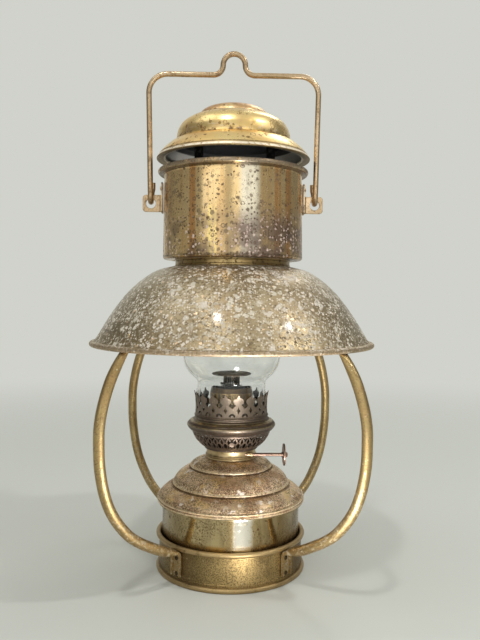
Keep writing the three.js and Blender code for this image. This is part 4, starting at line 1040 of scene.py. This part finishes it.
def bailPath():
    foot, hinge, hook, corner, loop = (bailForm[key] for key in ("foot", "hinge", "hook", "corner", "loop"))
    shoulder = foot + bailForm["spread"]
    barHeight = hinge + bailForm["height"]
    loopHeight = barHeight + bailForm["loopTop"] - loop
    fillet = loopHeight - barHeight - bailForm["filletShort"]
    half = [(foot - inwards, hook, hinge + rise) for inwards, rise in bailForm["tail"]]
    half += [(foot, y, z) for y, z in bend((0, hinge), hook, 0, -180, 12)]
    upright = [(foot - inwards, hinge + rise) for inwards, rise in bailForm["leg"]]
    upright += bend((shoulder - corner, barHeight - corner), corner, 0, 90, 12)
    upright += bend((loop + fillet, barHeight + fillet), fillet, 270, 180, 8)
    upright += bend((0, loopHeight), loop, 0, 90, 10)
    half += [(x, -hook, z) for x, z in upright]
    return half + [(-x, y, z) for x, y, z in reversed(half[:-1])]


curve = bpy.data.curves.new("bailRod", "CURVE")
curve.dimensions = "3D"
polyline(curve, bailPath())
values = {"Radius": bailForm["radius"] * mm, "Sides": bailForm["sides"], "Material": paint["bronze_rod"]}
dress(rodTree().run(placed("bailRod", curve), values), "bail", "bronze_rod", ["bail"])
print("lantern: rivets, ears and bail made")

# Font

drumForm = {
    "radius": 63.9, "bottom": 5.3, "top": 63.1, "wall": 1.0, "flange": 67.7,
    "edge": 1.2, "shoulder": [(0.0, 2.6), (0.8, 1.5)],
}
wide, low, high, wall = (drumForm[key] for key in ("radius", "bottom", "top", "wall"))
outline = [(0, low), (wide - drumForm["edge"], low), (wide, low + drumForm["edge"])]
outline += [(wide + out, high - drop) for out, drop in drumForm["shoulder"]]
outline += [(drumForm["flange"], high - wall), (drumForm["flange"], high), (wide - wall, high - wall / 2)]
outline += [(wide - wall, low + wall), (0, low + wall)]
dress(lathe("fontDrum", outline, wideSides), "font", "polished_brass", ["font_drum"], "drumBrass")

domeForm = {
    "rim": [(62.9, 63.4), (66.9, 63.4), (68.2, 63.5), (68.7, 64.0), (68.3, 64.6), (67.9, 65.4),
            (68.0, 66.3), (68.7, 66.7), (68.7, 67.3), (68.0, 67.6), (67.1, 67.5)],
    "low": [(66.8, 67.9), (66.3, 69.6), (64.4, 71.8), (61.6, 74.2), (58.3, 76.4), (55.6, 77.5),
            (54.0, 77.8)],
    "ridge": [(53.2, 77.9), (53.5, 78.4), (54.5, 78.8), (54.7, 79.5), (54.2, 80.2)],
    "middle": [(53.6, 80.6), (52.8, 82.4), (51.2, 85.0), (48.6, 87.7), (45.0, 90.4), (41.4, 92.3),
               (39.0, 93.1), (37.9, 93.3)],
    "edge": [(37.2, 93.4), (37.5, 93.9), (38.3, 94.3), (38.4, 95.0), (38.0, 95.6)],
    "high": [(37.5, 95.9), (36.2, 97.3), (33.6, 99.0), (29.6, 100.8), (25.4, 102.1), (21.4, 102.6)],
    "inner": [(21.4, 101.6), (25.0, 101.2), (30.6, 98.8), (34.6, 96.4), (36.0, 93.6), (40.0, 91.4),
              (46.6, 86.8), (51.0, 82.6), (51.8, 78.2), (57.6, 75.4), (64.6, 67.4), (62.9, 64.4)],
}
outline = domeForm["rim"] + smoothLine(domeForm["low"], 4) + domeForm["ridge"]
outline += smoothLine(domeForm["middle"], 4) + domeForm["edge"] + smoothLine(domeForm["high"], 4)
outline += domeForm["inner"]
dress(lathe("fontDome", outline, wideSides), "font", "mottled_brass", ["font_dome"])

# Burner

collarForm = {
    "outline": [(21.4, 102.9), (24.2, 102.9), (24.2, 103.8), (23.7, 104.3), (23.5, 104.8), (23.9, 105.4),
                (23.5, 106.0), (22.9, 107.1), (22.8, 108.7), (23.3, 109.9), (23.3, 110.7), (23.0, 111.0),
                (21.4, 111.0)],
    "bush": [(1.8, 0), (2.1, 0), (2.1, 2.4), (2.4, 2.7), (2.5, 3.2), (2.5, 4.4), (2.2, 4.9), (1.8, 4.9)],
    "bushX": 14.6, "spindle": (-17.7, 107.9),
}
dress(lathe("burnerCollar", collarForm["outline"]), "font", "collar_brass", ["burner_collar"])


def alongX(piece, x):
    # from upright on the axis to lying on the line of the winder
    return moved(turned(piece, 90, "Y"), x, *collarForm["spindle"])


bush = lathe("spindleBush", collarForm["bush"], pinSides)
dress(alongX(bush, collarForm["bushX"]), "font", "collar_brass", ["spindle_bush"])

pierce = holesTree()


def pierced(piece, bars, count, finish, turn=0.0):
    # the piece with the bars taken out of it, count times round the axis
    verts, faces = [], []
    for more, sides in bars:
        faces += [[k + len(verts) for k in side] for side in sides]
        verts += more
    tool = newPiece("cutter", verts, faces)
    made = pierce.run(piece, {"Cutter": tool, "Count": count, "Turn": turn, "Material": paint[finish]})
    bpy.data.objects.remove(tool)
    return made


def outwards(shapes, start, end, radius, pitch=1.0):
    # bars to the front from (across, height) shapes, across being in pitches at the wall's radius
    return [bar(*[[(x * pitch * reach / radius, -reach, z) for x, z in shape] for reach in (start, end)])
            for shape in shapes]


basketForm = {
    "foot": [(24.6, 111.3), (24.9, 111.9), (24.6, 112.6)],
    "bowl": [(24.9, 112.8), (28.4, 114.9), (32.4, 118.9), (34.9, 122.9), (36.0, 125.6)],
    "lip": [(36.3, 126.0), (36.4, 126.8), (36.4, 127.5)],
    "floor": [(24.0, 111.9), (16.0, 111.9), (16.0, 111.3)],
    "wall": 0.6, "count": 36, "radius": 34, "cut": (22, 40),
    # the pierced shapes, across in pitches: the fork, the leaf, the foot and the seed of the pattern
    "shapes": [
        [(-0.4, 126.4), (-0.3, 125.0), (-0.12, 123.9), (-0.09, 122.4), (0.09, 122.4), (0.12, 123.9),
         (0.3, 125.0), (0.4, 126.4), (0.24, 126.4), (0, 124.9), (-0.24, 126.4)],
        [(0.5, 125.6), (0.39, 124.2), (0.3, 122.6), (0.34, 121.3), (0.5, 120.0), (0.66, 121.3),
         (0.7, 122.6), (0.61, 124.2)],
        [(0, 121.4), (-0.18, 120.2), (-0.29, 118.6), (-0.24, 117.0), (0, 115.8), (0.24, 117.0),
         (0.29, 118.6), (0.18, 120.2)],
        [(0.5, 118.8), (0.41, 117.8), (0.43, 116.4), (0.5, 115.4), (0.57, 116.4), (0.59, 117.8)],
    ],
    "button": [(0, 0), (2.6, 0), (2.7, 0.5), (2.3, 0.9), (1.9, 0.8), (0, 1.0)],
    "buttonPlace": (0, -34.6, 120.6), "buttonTilt": 112,
}
outer = basketForm["foot"] + smoothLine(basketForm["bowl"], 6) + basketForm["lip"]
inward = beside(outer, -basketForm["wall"])[:len(basketForm["foot"]) - 1:-1]
outline = outer + inward + basketForm["floor"]
basket = lathe("burnerBasket", outline, burnerSides, inside=(len(outer), len(outline) - 2))
pitch = 2 * math.pi * basketForm["radius"] / basketForm["count"]
bars = outwards(basketForm["shapes"], *basketForm["cut"], basketForm["radius"], pitch)
basket = pierced(basket, bars, basketForm["count"], "burner_bronze")
button = lathe("basketButton", basketForm["button"], pinSides)
turned(button, basketForm["buttonTilt"], "X")
moved(button, *basketForm["buttonPlace"])
dress(joined("burnerBasket", [basket, button]), "font", "burner_bronze", ["burner_basket"])

galleryForm = {
    "lip": [(36.3, 127.8), (36.9, 128.0), (38.1, 128.7), (39.6, 130.2), (40.9, 131.9), (41.4, 133.5),
            (41.2, 134.5), (40.6, 135.2)],
    "top": [(40.0, 135.5), (39.9, 136.0), (39.4, 136.6), (38.4, 137.5), (37.2, 138.0), (36.6, 138.0),
            (36.2, 138.3), (33.4, 138.3)],
    "under": [(33.4, 137.7), (36.8, 137.5), (38.4, 136.6), (39.4, 135.2), (40.6, 134.2), (40.8, 133.4),
              (40.2, 132.0), (39.0, 130.6), (37.6, 129.2), (36.4, 128.6), (35.8, 127.8)],
}
outline = smoothLine(galleryForm["lip"], 3) + galleryForm["top"] + galleryForm["under"]
dress(lathe("galleryRing", outline, burnerSides), "font", "burner_bronze", ["gallery_ring"])

crownForm = {
    "foot": [(33.2, 138.5), (35.6, 138.5), (35.5, 139.1), (34.6, 139.5), (34.2, 140.1), (34.3, 140.9),
             (34.1, 141.5), (34.4, 141.9), (34.7, 142.5), (34.5, 143.1), (33.9, 143.7)],
    "outer": [(33.7, 145.0), (33.6, 150.0), (33.7, 155.0), (34.1, 160.0), (35.0, 164.5)],
    "inner": [(34.4, 164.6), (33.5, 160.0), (33.1, 155.0), (33.0, 150.0), (33.1, 145.0)],
    "seat": [(33.1, 141.7), (29.4, 141.7), (29.4, 141.1), (33.2, 141.1)],
    "count": 18, "radius": 33.8, "cut": (30, 38),
    # half of the gap between two prongs, and the lozenge and the brow under it, across in pitches
    "gap": [(0, 152.3), (0.12, 153.4), (0.27, 155.2), (0.24, 156.0), (0.13, 157.0), (0.1, 158.6),
            (0.11, 160.0), (0.17, 160.9), (0.3, 161.6), (0.39, 162.4), (0.44, 163.4), (0.46, 164.8),
            (0.47, 166.5)],
    "lozenge": [(0.5, 147.4), (0.55, 149.0), (0.66, 150.5), (0.56, 151.9), (0.5, 153.9), (0.44, 151.9),
                (0.34, 150.5), (0.45, 149.0)],
    "brow": [(-0.25, 144.8), (-0.13, 144.8), (-0.1, 145.9), (0, 146.3), (0.1, 145.9), (0.13, 144.8),
             (0.25, 144.8), (0.23, 146.6), (0.12, 147.7), (0, 148.0), (-0.12, 147.7), (-0.23, 146.6)],
}
outline = crownForm["foot"] + smoothLine(crownForm["outer"], 3)
inward = smoothLine(crownForm["inner"], 3)
ends = (len(outline), len(outline + inward) - 1)
crown = lathe("chimneyCrown", outline + inward + crownForm["seat"], burnerSides, inside=ends)
gap = crownForm["gap"]
shapes = [gap + [(-x, z) for x, z in reversed(gap[1:])], crownForm["lozenge"], crownForm["brow"]]
pitch = 2 * math.pi * crownForm["radius"] / crownForm["count"]
bars = outwards(shapes, *crownForm["cut"], crownForm["radius"], pitch)
crown = pierced(crown, bars, crownForm["count"], "burner_bronze")
dress(crown, "font", "burner_bronze", ["chimney_crown"])

tubesForm = {
    "outline": [(15.1, 112.2), (17.7, 112.2), (17.7, 113.2), (15.7, 113.2), (15.7, 167.7), (15.5, 168.0),
                (15.3, 168.0), (15.1, 167.7)],
}
dress(lathe("wickTube", tubesForm["outline"], slimSides), "font", "burner_bronze", ["wick_tube"])

sleeveForm = {
    "foot": [(19.4, 140.2), (32.9, 140.2), (32.9, 140.8), (20.0, 140.8)],
    "wall": [(20.0, 150.0), (20.0, 160.0), (19.9, 163.6), (19.3, 165.6), (18.9, 167.0)],
    "mouth": [(18.9, 167.6), (18.5, 168.0), (18.1, 168.0)],
    "inner": [(17.7, 167.6), (18.4, 165.6), (19.3, 163.4), (19.4, 160.0)],
    "hole": 2.3, "holeReach": 26.4, "holeHeights": (139.0, 142.0), "count": 12, "turn": 0.26,
}
outline = sleeveForm["foot"] + smoothLine(sleeveForm["wall"], 3) + sleeveForm["mouth"] + sleeveForm["inner"]
ends = (len(outline) - len(sleeveForm["inner"]), len(outline))
sleeve = lathe("airSleeve", outline, slimSides, inside=ends)
hole = bend((0, sleeveForm["holeReach"]), sleeveForm["hole"], 0, 330, 11)
bars = [bar(*[[(x, -y, z) for x, y in hole] for z in sleeveForm["holeHeights"]])]
sleeve = pierced(sleeve, bars, sleeveForm["count"], "polished_brass", sleeveForm["turn"])
dress(sleeve, "font", "polished_brass", ["air_deflector"], "sleeveBrass")

# Flame spreader

spreaderForm = {
    "disc": [(0, 179.4), (9.0, 179.5), (16.8, 179.4), (18.2, 179.6), (18.4, 180.0), (18.2, 180.5),
             (16.6, 180.8), (11.0, 181.2), (6.0, 181.5), (4.2, 181.9), (2.6, 182.6), (1.2, 182.85),
             (0, 182.9)],
    "stem": [(10.8, 156.3), (11.4, 156.3), (11.4, 168.3), (12.3, 168.3), (12.3, 168.9), (11.2, 169.1),
             (10.4, 169.5), (10.4, 170.6), (9.6, 170.9), (7.7, 171.2), (7.7, 178.5), (7.9, 179.1),
             (7.1, 179.1), (7.1, 171.4), (9.2, 170.3), (9.8, 169.6), (10.8, 168.6)],
    "slot": [(-0.42, 174.9), (-0.42, 172.6), (0.42, 172.6), (0.42, 174.9)],
    "dot": (0, 177.0), "dotRadius": 0.5,
    "count": 28, "radius": 7.7, "cut": (6.6, 8.4),
    "knob": [(0, 0), (1.2, 0), (1.4, 0.4), (1.4, 2.4), (1.0, 2.9), (0, 3.0)],
    "knobPlace": (-7.5, 0, 173.2),
}
disc = lathe("flameDisc", spreaderForm["disc"], slimSides)
dress(disc, "spreader", "sooty_metal", ["flame_disc"])
shapes = [bend(spreaderForm["dot"], spreaderForm["dotRadius"], 0, 300, 5), spreaderForm["slot"]]
bars = outwards(shapes, *spreaderForm["cut"], spreaderForm["radius"])
stem = lathe("spreaderStem", spreaderForm["stem"], slimSides)
stem = pierced(stem, bars, spreaderForm["count"], "sooty_metal")
knob = turned(lathe("stemKnob", spreaderForm["knob"], headSides), -90, "Y")
moved(knob, *spreaderForm["knobPlace"])
dress(joined("spreaderStem", [stem, knob]), "spreader", "sooty_metal", ["spreader_stem"])

# Winder

# sides, place along the spindle's line, and outline
winderForm = {
    "spindle": (pinSides, -7.1, [(0, 0), (1.2, 0), (1.5, 0.3), (1.5, 57.0), (1.2, 57.3), (0, 57.3)]),
    "wheel": (112, 48.3, [
        (1.8, -0.6), (2.6, -0.6), (3.2, -0.25), (8.4, -0.25), (9.2, -0.75), (9.7, -0.75), (10.0, -0.45),
        (10.0, 0.45), (9.7, 0.75), (9.2, 0.75), (8.4, 0.25), (3.2, 0.25), (2.6, 0.6), (1.8, 0.6),
    ]),
    "nut": (6, 49.2, [(0, 0), (2.3, 0), (2.4, 0.2), (2.4, 1.7), (2.1, 2.3), (1.2, 2.6), (0, 2.6)]),
    "shoulder": (pinSides, 46.1, [(1.8, 0), (2.2, 0), (2.4, 0.3), (2.4, 1.3), (1.8, 1.3)]),
}
knurled = {"wheel": ([6, 7], 0.35)}
for name, (sides, x, outline) in winderForm.items():
    part = lathe("winder" + name.capitalize(), outline, sides, knurled.get(name))
    dress(alongX(part, x), "winder", "copper_brown", ["winder_" + name])

# Wick

wickForm = {
    "outer": 14.8, "inner": 12.6, "bottom": 48.6, "top": 168.3, "open": 50, "rows": 48,
    "fray": 0.25, "frayTurn": 2.3,
}


def wickMesh():
    # a band rolled round the draft tube and open at the back, with a frayed top
    rows, verts, faces = wickForm["rows"], [], []
    section = [(wickForm["outer"], 0), (wickForm["outer"], 1), (wickForm["inner"], 1), (wickForm["inner"], 0)]
    for k in range(rows + 1):
        angle = math.radians(90 + wickForm["open"] / 2 + (360 - wickForm["open"]) * k / rows)
        top = wickForm["top"] + wickForm["fray"] * math.sin(k * wickForm["frayTurn"])
        for reach, end in section:
            height = top if end else wickForm["bottom"]
            verts.append((reach * math.cos(angle), reach * math.sin(angle), height))
    for k in range(rows):
        faces += [[4 * k + j, 4 * k + (j + 1) % 4, 4 * k + 4 + (j + 1) % 4, 4 * k + 4 + j] for j in range(4)]
    faces += [[0, 1, 2, 3], [4 * rows + j for j in (3, 2, 1, 0)]]
    return newPiece("wickBand", verts, faces)


dress(wickMesh(), "wick", "wick_cotton", ["wick"])
print("lantern: font, burner and winder made")

# Glass chimney

glassForm = {
    "line": [(32.6, 142.0), (32.4, 156.0), (32.2, 170.5), (32.15, 173.2), (33.9, 176.2), (38.9, 180.9),
             (42.6, 186.2), (44.7, 191.5), (45.6, 197.4), (46.0, 204.0), (44.9, 212.9), (41.2, 221.9),
             (35.8, 229.6), (30.8, 236.8), (28.0, 243.7), (26.6, 252.6), (26.0, 274.4), (26.0, 331.4)],
    "wall": 1.6, "foot": [(31.3, 142.0), (32.3, 142.0)], "mouth": [(25.6, 332.0), (24.8, 332.0)],
}
outer = smoothLine(glassForm["line"], 6)
inward = beside(outer, -glassForm["wall"])[::-1]
outline = glassForm["foot"] + outer[1:] + glassForm["mouth"] + inward[1:-1]
dress(lathe("glassChimney", outline, crease=60), "chimney", "clear_glass", ["glass_chimney"])
print("lantern: chimney made")

# Floor, light and camera

studio = {
    "background": tone(208, 210, 203), "fill": (0.62, 0.63, 0.6, 1), "fillStrength": 0.75, "sides": 0.3,
    "floorRadius": 6000, "floorDepths": (4.0, 0.05), "aim": (0, 0, 0.25),
    # how far from the lantern the floor turns into the backdrop, and how far aside that one darkens
    "floorFade": (0.35, 1.6), "sideFade": (0.35, 0.85),
    "lights": [
        # name, azimuth and height above the horizon in degrees, distance, width, height, power
        ("windowRight", 17, 13, 0.95, 0.66, 0.36, 1.0),
        ("windowLeft", -32, 13, 0.95, 0.6, 0.36, 0.95),
        ("lampLeft", -22, 62, 1.7, 0.12, 0.12, 5.0),
        ("lampRight", 64, 48, 1.7, 0.12, 0.12, 5.0),
        ("softRight", 72, 40, 1.9, 1.1, 1.1, 3.2),
        ("softLeft", -80, 55, 1.9, 0.9, 0.9, 2.5),
        ("lampBack", 150, 50, 1.7, 0.5, 0.5, 4.0),
    ],
    # a small card of light that lies before the lantern, just out of the frame
    "card": {"place": (0.048, -0.222, 0.003), "turn": 14, "width": 0.046, "length": 0.09, "power": 1.4},
    "camera": (-13.7, -636.9, 251.8), "pitch": 1.89, "yaw": 1.9, "roll": 0.5, "focal": 680, "frame": 640,
}


def sight(start):
    # 1 for what the camera sees, directly, in metal or through glass
    camera = start.node("ShaderNodeLightPath", None, None, "Is Camera Ray")
    glossy = camera.also("Is Glossy Ray")
    seen = camera.maths("MAXIMUM", glossy.maths("MAXIMUM", camera.also("Is Transmission Ray")))
    return seen, glossy, camera


def backdropMaterial():
    material, place = blankMaterial("studioFloor")
    far = place.vector("LENGTH", None, 1).ease(*studio["floorFade"])
    seen = sight(place)[0]
    matt = place.node("ShaderNodeBsdfDiffuse", None, {"Color": studio["background"]})
    plain = place.node("ShaderNodeEmission", None, {"Color": studio["background"], "Strength": 1.0})
    return surfaced(material, place.node("ShaderNodeMixShader", None, {0: seen * far, 1: matt, 2: plain}))


wide = studio["floorRadius"]
low, high = (-depth for depth in studio["floorDepths"])
floor = lathe("floor", [(0, low), (wide, low), (wide, high), (0, high)], slimSides)
floor.data.materials.append(backdropMaterial())

# the pale backdrop all round, a little darker at the two sides for what the metal reflects
world = bpy.data.worlds.new("studio")
bpy.context.scene.world = world
world.use_nodes = True
world.node_tree.nodes.clear()
way = Wire(world.node_tree).node("ShaderNodeTexCoord", None, None, "Generated")
seen, glossy, camera = sight(way)
across = way.node("ShaderNodeSeparateXYZ", None, {0: way}, 0)
aside = across.maths("ABSOLUTE").ease(*studio["sideFade"]) * glossy * (1 - camera)
strength = 1 - aside * (1 - studio["sides"])
soft = way.node("ShaderNodeBackground", None, {"Color": studio["fill"], "Strength": studio["fillStrength"]})
pale = way.node("ShaderNodeBackground", None, {"Color": studio["background"], "Strength": strength})
mixed = way.node("ShaderNodeMixShader", None, {0: seen, 1: soft, 2: pale})
world.node_tree.links.new(mixed.socket, world.node_tree.nodes.new("ShaderNodeOutputWorld").inputs["Surface"])


def lamp(name, place, rotation, width, length, power):
    light = bpy.data.lights.new(name, "AREA")
    light.shape = "RECTANGLE"
    light.size, light.size_y = width, length
    light.energy = power
    holder = placed(name, light)
    holder.location = place
    holder.rotation_euler = rotation
    holder.visible_camera = False


for name, azimuth, rise, distance, width, tall, power in studio["lights"]:
    a, t = math.radians(azimuth), math.radians(rise)
    aim = Vector((math.sin(a) * math.cos(t), -math.cos(a) * math.cos(t), math.sin(t)))
    place = Vector(studio["aim"]) + aim * distance
    lamp(name, place, aim.to_track_quat("Z", "Y").to_euler(), width, tall, power)
card = studio["card"]
turn = (math.pi, 0, math.radians(card["turn"]))
lamp("card", card["place"], turn, card["width"], card["length"], card["power"])

view = bpy.data.cameras.new("camera")
view.lens = view.sensor_width * studio["focal"] / studio["frame"]
camera = placed("camera", view)
yaw, pitch = math.radians(studio["yaw"]), math.radians(studio["pitch"])
look = Vector((math.sin(yaw) * math.cos(pitch), math.cos(yaw) * math.cos(pitch), -math.sin(pitch)))
roll = Matrix.Rotation(math.radians(studio["roll"]), 4, "Z")
turn = look.to_track_quat("-Z", "Y").to_matrix().to_4x4() @ roll
camera.matrix_world = Matrix.Translation(Vector(studio["camera"]) * mm) @ turn
bpy.context.scene.camera = camera
bpy.context.scene.view_settings.view_transform = "Standard"
print("lantern: floor, light and camera made")
